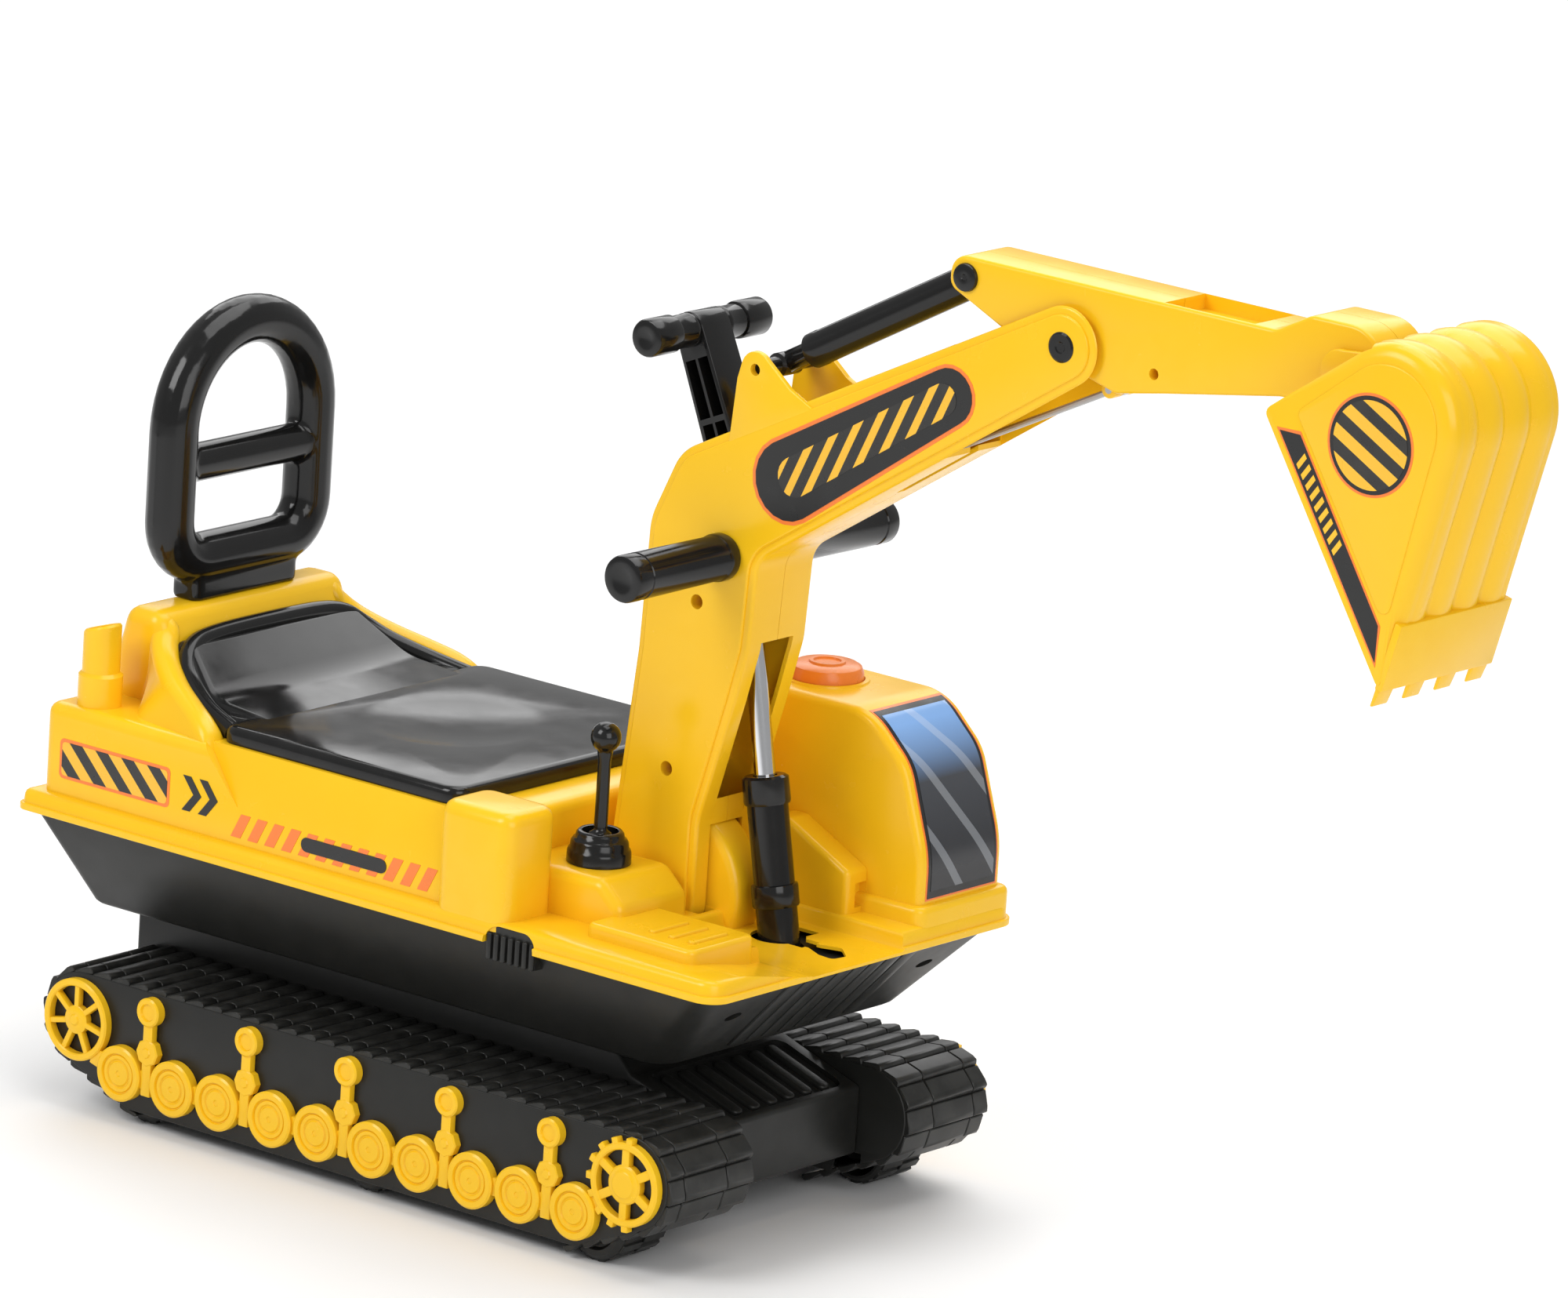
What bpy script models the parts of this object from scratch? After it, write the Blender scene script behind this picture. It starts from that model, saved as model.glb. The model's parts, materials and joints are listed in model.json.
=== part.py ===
"""Ride-on toy excavator: tracked undercarriage, swivelling body and digging arm.

Metres, +X towards the bucket, +Y to the rider's left, +Z up. Every measure below is taken in the machine
frame, whose X = 0 is the swivel axis. The last lines slide the whole machine along X so that the middle of
its footprint is the origin.
"""

from math import atan2, cos, hypot, pi, radians, sin, tau

import bmesh
import bpy
from mathutils import Matrix, Vector

# Gaps
TOUCH_GAP = 0.0003
PIN_GAP = 0.0004
SWIVEL_GAP = 0.0006

# Tracks
TRACK_OUTER_Y = 0.187
TRACK_WIDTH = 0.097
TRACK_SPAN = 0.542
TRACK_MIDDLE_X = 0.005
TRACK_AXLE_Z = 0.071
TRACK_END_RADIUS = 0.036
TRACK_FLOOR_Z = 0.011
TRACK_RAKE = 0.051
TRACK_WALL = 0.0035
LUG_PITCH = 0.020
LUG_LENGTH = 0.009
LUG_HEIGHT = 0.0045

# Yellow roller trims on the outer track faces
TRIM_THICKNESS = 0.0085
RING_RADIUS = 0.033
RING_RIM = 0.006
RING_SPOKES = 7
RING_HUB = 0.011
SPROCKET_WINDOWS = 6
SPROCKET_HUB = 0.015
SPROCKET_TEETH = 9
TOOTH_SIZE = 0.0055
POST_COUNT = 5
POST_PITCH = 0.0989
POST_FIRST_X = -0.1925
POST_CAP_Z = 0.0935
POST_CAP_RADIUS = 0.011
POST_STEM = 0.0095
ROLLER_Z = 0.0395
ROLLER_RADIUS = 0.0215
ROLLER_OFFSET = 0.0267
ROLLER_BAR = 0.015

# Running wheels
WHEEL_RADIUS = 0.030
WHEEL_WIDTH = 0.052
WHEEL_MIDDLE_Y = 0.152
WHEEL_XS = (-0.206, 0.017, 0.238)
WHEEL_RIM = 0.006
WHEEL_HUB = 0.011
AXLE_RADIUS = 0.004
AXLE_OVERHANG = 0.0025

# Chassis
CHASSIS_REAR_X = -0.300
CHASSIS_FRONT_X = 0.269
CHASSIS_BOTTOM_Z = 0.038
CHASSIS_WALL = 0.004
TUNNEL_TOP_Z = 0.132
TUNNEL_FRONT_X = 0.178
RIDGE_X = 0.192
RIDGE_Z = 0.116
FOOTBOARD_Z = 0.091
FOOTBOARD_FLOOR = 0.011
FOOTBOARD_RIBS = 7
FOOTBOARD_WIDTH = 0.148
FOOTBOARD_GROOVE_DEPTH = 0.005
BEARING_DROP_Z = 0.020
BEARING_HALF = 0.013

# Turntable
TURNTABLE_RADIUS = 0.085
TURNTABLE_WIDTH = 0.023
KING_BOLT_RADIUS = 0.0075
KING_HEAD_RADIUS = 0.014
KING_HEAD_HEIGHT = 0.006
KING_WASHER_RADIUS = 0.024
KING_WASHER_HEIGHT = 0.003

# Lower shell
HULL_BOTTOM_Z = 0.146
HULL_BOTTOM = (-0.303, 0.262, 0.140)
HULL_SHOULDER = (-0.340, 0.328, 0.172)
HULL_WALL = 0.0035
HULL_CORNER = 0.034

# Upper shell
LIP_BOTTOM_Z = 0.217
DECK_Z = 0.233
LIP = (-0.350, 0.338, 0.180)
BODY = (-0.336, 0.100, 0.168)
BODY_TOP_Z = 0.302
BODY_CORNER = 0.030
BODY_WALL = 0.003
HUMP_HALF = 0.112
HUMP_TOP_Z = 0.372
HUMP_REAR_X = -0.320
HUMP_FRONT_X = -0.266
HUMP_ARM_X = -0.212
HUMP_ARM = 0.0195
EXHAUST_AT = (-0.303, -0.142)
EXHAUST_RADII = (0.017, 0.0145)
EXHAUST_STEP_Z = 0.327
EXHAUST_TOP_Z = 0.362
FENDER = (0.063, 0.135, 0.118, 0.1755)
FENDER_TOP_Z = 0.314
CONSOLE_X = (0.095, 0.198)
CONSOLE_Y = (-0.124, -0.042)
CONSOLE_Z = 0.268
CONSOLE_NOSE_Z = 0.250
STEP_BLOCK = (0.222, 0.290, -0.150, -0.076)
STEP_BLOCK_Z = 0.246
LEDGE = (0.205, 0.305, 0.046, 0.066)
LEDGE_Z = 0.272
LEDGE_STEP = (0.285, 0.252)

# Seat and backrest
SEAT_HALF = 0.150
SEAT_FRONT_X = 0.0622
SEAT_WALL = 0.0035
SEAT_TOP_Z = 0.315
SEAT_REAR_Z = 0.352
BACKREST_X = -0.298
BACKREST_TUBE = 0.019
BACKREST_HALF = 0.078
BACKREST_BOTTOM_Z = HUMP_TOP_Z + 0.031
BACKREST_TOP_Z = HUMP_TOP_Z + 0.211
BACKREST_BAR_Z = HUMP_TOP_Z + 0.106
BACKREST_BAR = 0.015
BACKREST_POST_HALF = 0.060

# Cab hood with the horn button
HOOD_X = (0.140, 0.327)
HOOD_Y = (0.070, 0.168)
HOOD_TOP_Z = 0.384
HOOD_WALL = 0.0035
BUTTON_AT = (0.188, 0.119)
BUTTON_RADIUS = 0.0285
BUTTON_HEIGHT = 0.014
BUTTON_FLANGE = 0.0035
BUTTON_TRAVEL = 0.004
SOUND_BOX_X = (0.158, 0.218)
SOUND_BOX_HEIGHT = 0.045

# Joystick on the console
STICK_AT = (0.146, -0.085)
SOCKET_RADIUS = 0.024
SOCKET_HEIGHT = 0.024
SOCKET_BORE = 0.0137
JOYSTICK_BALL = 0.0125
JOYSTICK_SHAFT = 0.005
JOYSTICK_KNOB = 0.0115
JOYSTICK_KNOB_Z = 0.363

# Digging arm, as points in the middle plane
LIFT_PIN = Vector((0.158, 0.240))
ELBOW_PIN = Vector((0.502, 0.719))
LEVER_PIN = Vector((0.190, 0.560))
CRANK = Vector((0.030, -0.028))
LINK_FOOT = Vector((0.225, 0.649))
LINK_HEAD = Vector((0.406, 0.751))
BUCKET_PIN = Vector((0.745, 0.748))
STRUT_FOOT = Vector((0.252, 0.222))
STRUT_HEAD = Vector((0.2105, 0.440))
HANDLEBAR = Vector((0.206, 0.505))
T_BAR = Vector((0.145, 0.661))
SCREWS = (Vector((0.184, 0.466)), Vector((0.165, 0.335)))

# Boom and stick mouldings
BOOM_HALF = 0.036
BOOM_WALL = 0.0035
ELBOW_RADIUS = 0.030
FORK_MOUTH_X = 0.403
LEG_SLOT_HALF = 0.0185
STICK_HALF = BOOM_HALF - 0.009
STICK_WALL = 0.003
STICK_END_RADIUS = 0.033
STICK_TAIL_RADIUS = 0.0155
POCKET_X = (0.582, 0.662)
EAR_RADIUS = 0.013
EAR_HOLE = 0.0045
KNUCKLE_RADIUS = 0.054
KNUCKLE_HALF = 0.0175

# Pins, rods and handles
LIFT_PIN_RADIUS = 0.005
ELBOW_PIN_RADIUS = 0.006
SMALL_PIN_RADIUS = 0.003
PIN_HEAD = 0.0035
SCREW_RADIUS = 0.0025
SCREW_HEAD = 0.005
SCREW_BOSS = 0.007
HANDLEBAR_RADIUS = 0.011
HANDLEBAR_WALL = 0.0015
HANDLEBAR_HALF = 0.1505
GRIP_RADIUS = 0.017
GRIP_CAP = 0.004
T_BAR_HALF = 0.0655
T_BAR_RADIUS = 0.0125
T_BAR_CAP_RADIUS = 0.0142
T_BAR_CAP = 0.028
LEVER_HALF = 0.0165
LEVER_WIDTHS = (0.0135, 0.0160, 0.0072)
PUSH_ROD_RADIUS = 0.0025
PUSH_ROD_EYE = 0.0062
CRANK_GAP = 0.0045
LINK_SLEEVE_RADIUS = 0.013
LINK_BORE = 0.0100
LINK_ROD_RADIUS = 0.0085
LINK_SLEEVE_ENDS = (0.017, 0.180)
LINK_ROD_START = 0.050
STRUT_SLEEVE_RADIUS = 0.0155
STRUT_COLLAR = 0.0175
STRUT_BORE = 0.0092
STRUT_ROD_RADIUS = 0.0080
STRUT_SLEEVE_ENDS = (-0.010, 0.118)
STRUT_COLLARS = ((0.020, 0.036), (0.097, 0.118))
STRUT_ROD_START = 0.030

# Bucket
BUCKET_HALF = 0.067
BUCKET_WALL = 0.004
BUCKET_RIM_TOP = Vector((0.706, 0.719))
BUCKET_RIM_LOW = Vector((0.823, 0.538))
BUCKET_CROWN = Vector((0.812, 0.727))
BUCKET_CROWN_RADIUS = 0.058
BUCKET_CROWN_ARC = (-14, 126)
BUCKET_OPEN_ANGLE = 104
BUCKET_HEEL = Vector((0.839, 0.598))
BUCKET_LUG = STICK_HALF + 0.0025
BUCKET_LUG_RADIUS = 0.030
BUCKET_LUG_WALL = 0.006
BUCKET_TEETH = 4
BUCKET_TOOTH = Vector((0.006, 0.010))


# Clean start, with one collection for the sub-parts and one for the cutting and joining shapes; both join the
# scene at the end, so that drawing an outline does not work out every earlier piece again
for old in list(bpy.data.objects):
    bpy.data.objects.remove(old, do_unlink=True)
parts = bpy.data.collections.new("toy_excavator")
cutters = bpy.data.collections.new("cutters")
drawing_board = bpy.context.scene.collection


def finish(name, colour, roughness, metallic=0.0):
    """Principled material with the part's own colour."""
    material = bpy.data.materials.new(name)
    material.use_nodes = True
    shader = material.node_tree.nodes["Principled BSDF"]
    shader.inputs["Base Color"].default_value = (*colour, 1.0)
    shader.inputs["Roughness"].default_value = roughness
    shader.inputs["Metallic"].default_value = metallic
    material.diffuse_color = (*colour, 1.0)
    return material


YELLOW = finish("yellow_plastic", (0.95, 0.52, 0.02), 0.32)
BLACK = finish("gloss_black_plastic", (0.012, 0.012, 0.013), 0.25)
DARK = finish("satin_dark_plastic", (0.028, 0.028, 0.026), 0.45)
ORANGE = finish("orange_plastic", (0.90, 0.28, 0.05), 0.35)
CHROME = finish("chrome", (0.75, 0.76, 0.78), 0.12, 1.0)
STEEL = finish("steel", (0.55, 0.56, 0.58), 0.35, 1.0)


def joint(name, at, parent=None):
    """Empty on a joint's axis; the pieces that move there hang on it."""
    empty = bpy.data.objects.new(name, None)
    empty["at"] = at
    parts.objects.link(empty)
    if parent:
        empty.parent = parent
        empty.location = Vector(at) - Vector(parent["at"])
    return empty


def in_plane(point, y=0.0):
    """Point of the arm's middle plane, at distance y from it."""
    return (point[0], y, point[1])


MACHINE = joint("machine", (0.0, 0.0, 0.0))
CAB = joint("swivel_axis", (0.0, 0.0, TUNNEL_TOP_Z), MACHINE)
BOOM = joint("lift_axis", in_plane(LIFT_PIN), CAB)
STICK = joint("elbow_axis", in_plane(ELBOW_PIN), BOOM)


def add(name, mesh, parent, material):
    """Sub-part from a mesh drawn in the machine frame, with its origin on the parent joint."""
    mesh.name = name
    mesh.transform(Matrix.Translation(-Vector(parent["at"])))
    mesh.materials.clear()
    mesh.materials.append(material)
    thing = bpy.data.objects.new(name, mesh)
    parts.objects.link(thing)
    thing.parent = parent
    return thing


def tool(meshes, parent):
    """Collection of hidden shapes that cut or join a sub-part."""
    group = bpy.data.collections.new("shapes")
    cutters.children.link(group)
    for mesh in meshes:
        mesh.transform(Matrix.Translation(-Vector(parent["at"])))
        shape = bpy.data.objects.new("shape", mesh)
        shape.parent = parent
        shape.hide_render = True
        shape.display_type = "WIRE"
        group.objects.link(shape)
    return group


def boolean(thing, operation, meshes):
    """Cut the shapes out of a sub-part, or join them to it."""
    modifier = thing.modifiers.new(operation.lower(), "BOOLEAN")
    modifier.operation = operation
    modifier.operand_type = "COLLECTION"
    modifier.collection = tool(meshes, thing.parent)
    modifier.solver = "EXACT"


def cut(thing, *meshes):
    boolean(thing, "DIFFERENCE", meshes)


def join(thing, *meshes):
    boolean(thing, "UNION", meshes)


def closed_mesh(work):
    """Mesh with merged points and outward faces from a bmesh."""
    bmesh.ops.remove_doubles(work, verts=work.verts, dist=0.000001)
    bmesh.ops.recalc_face_normals(work, faces=work.faces)
    mesh = bpy.data.meshes.new("shape")
    work.to_mesh(mesh)
    work.free()
    return mesh


def box(x, y, z):
    """Box from its (low, high) pairs."""
    work = bmesh.new()
    spans = [high - low for low, high in (x, y, z)]
    middle = [(low + high) / 2 for low, high in (x, y, z)]
    matrix = Matrix.Translation(middle) @ Matrix.Diagonal((*spans, 1.0))
    bmesh.ops.create_cube(work, size=1.0, matrix=matrix)
    return closed_mesh(work)


def bar(start, end, radius, sides=20, end_radius=None):
    """Round bar between two points."""
    start, end = Vector(start), Vector(end)
    turn = (end - start).to_track_quat("Z", "Y").to_matrix().to_4x4()
    matrix = Matrix.Translation((start + end) / 2) @ turn
    work = bmesh.new()
    bmesh.ops.create_cone(work, cap_ends=True, segments=sides, radius1=radius,
                          radius2=end_radius or radius, depth=(end - start).length, matrix=matrix)
    return closed_mesh(work)


def cross_bar(point, radius, half, sides=20, low=None):
    """Round bar across the machine through a point of the middle plane."""
    first = -half if low is None else low
    return bar(in_plane(point, first), in_plane(point, half), radius, sides)


def ball(at, radius, sides=16):
    work = bmesh.new()
    bmesh.ops.create_uvsphere(work, u_segments=sides, v_segments=sides // 2, radius=radius,
                              matrix=Matrix.Translation(at))
    return closed_mesh(work)


def plate(outlines, low, high):
    """Flat XZ outline (with its holes after it) made thick along Y from low to high."""
    curve = bpy.data.curves.new("outline", "CURVE")
    curve.dimensions = "2D"
    curve.fill_mode = "BOTH"
    curve.extrude = (high - low) / 2
    for outline in outlines:
        spline = curve.splines.new("POLY")
        spline.points.add(len(outline) - 1)
        spline.use_cyclic_u = True
        for point, (x, z) in zip(spline.points, outline):
            point.co = (x, z, 0.0, 1.0)
    holder = bpy.data.objects.new("outline", curve)
    drawing_board.objects.link(holder)
    evaluated = holder.evaluated_get(bpy.context.evaluated_depsgraph_get())
    flat = bpy.data.meshes.new_from_object(evaluated)
    bpy.data.objects.remove(holder)
    bpy.data.curves.remove(curve)
    flat.transform(Matrix.Translation((0.0, (low + high) / 2, 0.0)) @ Matrix.Rotation(pi / 2, 4, "X"))
    work = bmesh.new()
    work.from_mesh(flat)
    bpy.data.meshes.remove(flat)
    bmesh.ops.remove_doubles(work, verts=work.verts, dist=0.000001)
    bmesh.ops.dissolve_limit(work, angle_limit=0.001, verts=work.verts, edges=work.edges)
    bmesh.ops.triangulate(work, faces=[f for f in work.faces if len(f.verts) > 4], ngon_method="BEAUTY")
    return closed_mesh(work)


def arc(centre, radius, start, end, steps):
    """Points on an arc, angles in degrees."""
    angles = [radians(start + (end - start) * i / steps) for i in range(steps + 1)]
    return [(centre[0] + radius * cos(a), centre[1] + radius * sin(a)) for a in angles]


def filleted(corners, steps=4):
    """Closed outline from (x, z, radius) corners, each rounded by an arc of its radius."""
    outline = []
    count = len(corners)
    for i, (x, z, radius) in enumerate(corners):
        here = Vector((x, z))
        before = (Vector(corners[i - 1][:2]) - here).normalized()
        after = (Vector(corners[(i + 1) % count][:2]) - here).normalized()
        half = before.angle(after) / 2
        if radius <= 0.0 or half > radians(89.5):
            outline.append((x, z))
            continue
        reach = radius * cos(half) / sin(half)
        centre = here + (before + after).normalized() * (radius / sin(half))
        first = here + before * reach - centre
        sweep = first.angle_signed(here + after * reach - centre)
        start = atan2(first.y, first.x)
        for step in range(steps + 1):
            angle = start - sweep * step / steps
            outline.append((centre.x + radius * cos(angle), centre.y + radius * sin(angle)))
    return outline


def inset(outline, wall):
    """Outline moved inwards by a wall thickness."""
    area = sum(a[0] * b[1] - b[0] * a[1] for a, b in zip(outline, outline[1:] + outline[:1]))
    side = 1.0 if area > 0 else -1.0
    moved = []
    for i, point in enumerate(outline):
        here = Vector(point)
        before = (here - Vector(outline[i - 1])).normalized()
        after = (Vector(outline[(i + 1) % len(outline)]) - here).normalized()
        normals = [Vector((-d.y, d.x)) * side for d in (before, after)]
        middle = (normals[0] + normals[1]).normalized()
        moved.append(here + middle * (wall / max(middle.dot(normals[0]), 0.3)))
    return [(p.x, p.y) for p in moved]


def rounded_rectangle(x, y, radius, steps=4):
    """Points of a rectangle with round corners, counter-clockwise."""
    points = []
    quarters = ((x[1], y[1], 0), (x[0], y[1], 90), (x[0], y[0], 180), (x[1], y[0], 270))
    for corner_x, corner_y, start in quarters:
        centre = (corner_x - radius * (1 if corner_x == x[1] else -1),
                  corner_y - radius * (1 if corner_y == y[1] else -1))
        points += arc(centre, radius, start, start + 90, steps)
    return points


def loft(sections, open_top=False):
    """Skin through level sections of equal point counts, given as (height, outline) from the bottom up."""
    work = bmesh.new()
    rings = [[work.verts.new((x, y, z)) for x, y in outline] for z, outline in sections]
    count = len(rings[0])
    for lower, upper in zip(rings, rings[1:]):
        for i in range(count):
            j = (i + 1) % count
            work.faces.new((lower[i], lower[j], upper[j], upper[i]))
    work.faces.new(list(reversed(rings[0])))
    if not open_top:
        work.faces.new(rings[-1])
    return closed_mesh(work)


def block(x, y, z, radius, ease=0.0):
    """Rounded block standing on z[0], with its top edge eased."""
    low = rounded_rectangle(x, y, radius)
    sections = [(z[0], low), (z[1] - ease, low)]
    if ease:
        high = rounded_rectangle((x[0] + ease, x[1] - ease), (y[0] + ease, y[1] - ease), radius - ease * 0.7)
        sections.append((z[1], high))
    return loft(sections)


def turned(name, profile, at, parent, material, direction=(0.0, 0.0, 1.0), bored=False, steps=18):
    """Turned sub-part: a (radius, height) profile run from top to bottom, swept about its axis."""
    mesh = bpy.data.meshes.new(name)
    count = len(profile)
    edges = [(i, i + 1) for i in range(count - 1)]
    if bored:
        edges.append((count - 1, 0))
    mesh.from_pydata([(radius, 0.0, height) for radius, height in profile], edges, [])
    mesh.materials.append(material)
    thing = bpy.data.objects.new(name, mesh)
    parts.objects.link(thing)
    thing.parent = parent
    thing.location = Vector(at) - Vector(parent["at"])
    thing.rotation_euler = Vector(direction).to_track_quat("Z", "Y").to_euler()
    sweep = thing.modifiers.new("turn", "SCREW")
    sweep.angle = tau
    sweep.steps = sweep.render_steps = steps
    sweep.use_merge_vertices = True
    sweep.merge_threshold = 0.00001
    sweep.use_smooth_shade = True
    return thing


def pin(name, point, radius, half, parent, head=PIN_HEAD, head_height=0.0016):
    """Steel pin across the machine with a flat head outside each end of its hole."""
    profile = [(0.0, half + head_height), (radius + head, half + head_height), (radius + head, half),
               (radius, half), (radius, -half), (radius + head, -half),
               (radius + head, -half - head_height), (0.0, -half - head_height)]
    return turned(name, profile, in_plane(point), parent, STEEL, (0.0, 1.0, 0.0), steps=10)


# Track shells: a lugged belt outline, hollow and open below for the running wheels
TRACK_INNER_Y = TRACK_OUTER_Y - TRACK_WIDTH
IDLER_X = TRACK_MIDDLE_X - TRACK_SPAN / 2
SPROCKET_X = TRACK_MIDDLE_X + TRACK_SPAN / 2
RAKE_ANGLE = 24.0


def belt_path():
    """Smooth belt line from the front floor corner over the top to the rear one; the floor closes it."""
    sprocket = arc((SPROCKET_X, TRACK_AXLE_Z), TRACK_END_RADIUS, 270 + RAKE_ANGLE, 450, 10)
    idler = arc((IDLER_X, TRACK_AXLE_Z), TRACK_END_RADIUS, 90, 270 - RAKE_ANGLE, 10)
    front = (SPROCKET_X - TRACK_RAKE, TRACK_FLOOR_Z)
    rear = (IDLER_X + TRACK_RAKE, TRACK_FLOOR_Z)
    return [front, *sprocket, *idler, rear]


def lugged(path):
    """Belt line with a raised lug at every pitch above the floor."""
    lengths = [hypot(b[0] - a[0], b[1] - a[1]) for a, b in zip(path, path[1:])]
    total = sum(lengths)
    count = int(total / LUG_PITCH)

    def along(distance, lift):
        for a, b, length in zip(path, path[1:], lengths):
            if distance <= length:
                break
            distance -= length
        step = Vector((b[0] - a[0], b[1] - a[1])) / length
        out = Vector((step.y, -step.x))
        return tuple(Vector(a) + step * distance + out * lift)

    outline = [path[0]]
    for i in range(count):
        start = total * (i + 0.5) / count - LUG_LENGTH / 2
        stop = start + LUG_LENGTH
        outline += [along(start, 0.0), along(start, LUG_HEIGHT), along(stop, LUG_HEIGHT), along(stop, 0.0)]
    return outline + [path[-1]]


WHEEL_ROOM = WHEEL_RADIUS + 0.006
MOUTH = (WHEEL_XS[0] - WHEEL_ROOM, WHEEL_XS[-1] + WHEEL_ROOM)


def belt_hollow():
    """Inside of the belt, open below from before the first running wheel to behind the last."""
    radius = TRACK_END_RADIUS - TRACK_WALL
    idler = arc((IDLER_X, TRACK_AXLE_Z), radius, 90, 270 - RAKE_ANGLE, 7)
    sprocket = arc((SPROCKET_X, TRACK_AXLE_Z), radius, 270 + RAKE_ANGLE, 450, 7)
    rake_start = -TRACK_END_RADIUS * sin(radians(RAKE_ANGLE))
    rake_top = TRACK_AXLE_Z - TRACK_END_RADIUS * cos(radians(RAKE_ANGLE))
    slope = (rake_top - TRACK_FLOOR_Z) / (TRACK_RAKE - rake_start)

    def sill(distance):
        """Height inside the raked wall at a distance from the end axle."""
        return rake_top - slope * (distance - rake_start) + TRACK_WALL * 1.25

    rear, front = MOUTH
    opening = [(rear, sill(rear - IDLER_X)), (rear, -TRACK_FLOOR_Z), (front, -TRACK_FLOOR_Z),
               (front, sill(SPROCKET_X - front))]
    return idler + opening + sprocket


BELT = belt_path()
for side, name in ((-1, "right"), (1, "left")):
    def across(low, high):
        """Y range of a shape on this side of the machine."""
        return tuple(sorted((side * low, side * high)))

    track = add(f"track_{name}", plate([lugged(BELT)], *across(TRACK_INNER_Y, TRACK_OUTER_Y)), MACHINE, DARK)
    hollow = across(TRACK_INNER_Y + TRACK_WALL, TRACK_OUTER_Y - TRACK_WALL)
    mouth = (MOUTH[0] + TRACK_WALL / 2, MOUTH[1] - TRACK_WALL / 2)
    cut(track, plate([belt_hollow()], *hollow))
    cut(track, box(mouth, across(TRACK_INNER_Y - TRACK_WALL, TRACK_INNER_Y + 2 * TRACK_WALL),
                   (-TRACK_FLOOR_Z, WHEEL_RADIUS + 2 * AXLE_RADIUS)))


# Roller trims: ring, rollers, posts and sprocket of one yellow moulding on each track
def trim_shapes(low, high):
    """Solids that join into one trim, between two Y planes."""
    shapes = []
    mid = (low + high) / 2
    deep = (high - low) / 2

    def disc(x, z, radius, sides=14, depth=1.0):
        shapes.append(bar((x, mid - deep * depth, z), (x, mid + deep * depth, z), radius, sides))

    def strip(start, end, width, depth=1.0):
        a, b = Vector(start), Vector(end)
        out = (b - a).normalized().orthogonal() * (width / 2)
        outline = [tuple(a + out), tuple(b + out), tuple(b - out), tuple(a - out)]
        shapes.append(plate([outline], mid - deep * depth, mid + deep * depth))

    idler = Vector((IDLER_X, TRACK_AXLE_Z))
    for i in range(RING_SPOKES):
        angle = tau * i / RING_SPOKES + pi / 2
        tip = idler + Vector((cos(angle), sin(angle))) * (RING_RADIUS - RING_RIM / 2)
        strip(idler, tip, RING_RIM * 0.8, 0.8)
    disc(*idler, RING_HUB, 12, 0.94)
    sprocket = Vector((SPROCKET_X, TRACK_AXLE_Z))
    disc(*sprocket, SPROCKET_HUB, 12, 0.97)
    for i in range(SPROCKET_WINDOWS):
        angle = tau * (i + 0.5) / SPROCKET_WINDOWS
        tip = sprocket + Vector((cos(angle), sin(angle))) * (RING_RADIUS - RING_RIM / 2)
        strip(sprocket, tip, RING_RIM * 1.2, 0.9)
    for i in range(SPROCKET_TEETH):
        angle = radians(85 + 190 * i / (SPROCKET_TEETH - 1))
        root = sprocket + Vector((cos(angle), sin(angle))) * (RING_RADIUS - RING_RIM / 3)
        tip = sprocket + Vector((cos(angle), sin(angle))) * (RING_RADIUS + TOOTH_SIZE * 0.6)
        strip(root, tip, TOOTH_SIZE, 0.96)
    posts = [POST_FIRST_X + POST_PITCH * i for i in range(POST_COUNT)]
    rollers = [x + ROLLER_OFFSET * s for x in posts for s in (-1, 1)]
    strip(idler + Vector((RING_RADIUS - RING_RIM / 2) * f for f in (0.6, -0.8)),
          (rollers[0], ROLLER_Z), ROLLER_BAR, 0.7)
    strip((rollers[-1], ROLLER_Z), sprocket + Vector((-0.8, -0.6)) * (RING_RADIUS - RING_RIM / 2),
          ROLLER_BAR, 0.7)
    for first, second in zip(rollers, rollers[1:]):
        strip((first, ROLLER_Z), (second, ROLLER_Z), ROLLER_BAR, 0.75)
    for x in rollers:
        disc(x, ROLLER_Z, ROLLER_RADIUS)
    for x in posts:
        disc(x, POST_CAP_Z, POST_CAP_RADIUS, 12, 0.97)
        strip((x, POST_CAP_Z), (x, ROLLER_Z), POST_STEM, 0.85)
        disc(x, (POST_CAP_Z + ROLLER_Z) / 2 - POST_STEM / 2, POST_CAP_RADIUS, 8, 0.9)
    return shapes


def ring(centre, outer, inner, low, high, sides=22):
    """Flat ring in the XZ plane, thick along Y."""
    step = 360 * (sides - 1) / sides
    outlines = [arc(centre, outer, 0, step, sides - 1), arc(centre, inner, 0, step, sides - 1)]
    return plate(outlines, low, high)


for side, name in ((-1, "right"), (1, "left")):
    low, high = sorted((side * (TRACK_OUTER_Y + TOUCH_GAP), side * (TRACK_OUTER_Y + TRIM_THICKNESS)))
    rims = [ring((x, TRACK_AXLE_Z), RING_RADIUS, RING_RADIUS - RING_RIM, low, high)
            for x in (IDLER_X, SPROCKET_X)]
    trim = add(f"roller_trim_{name}", rims[0], MACHINE, YELLOW)
    join(trim, rims[1], *trim_shapes(low, high))

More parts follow.
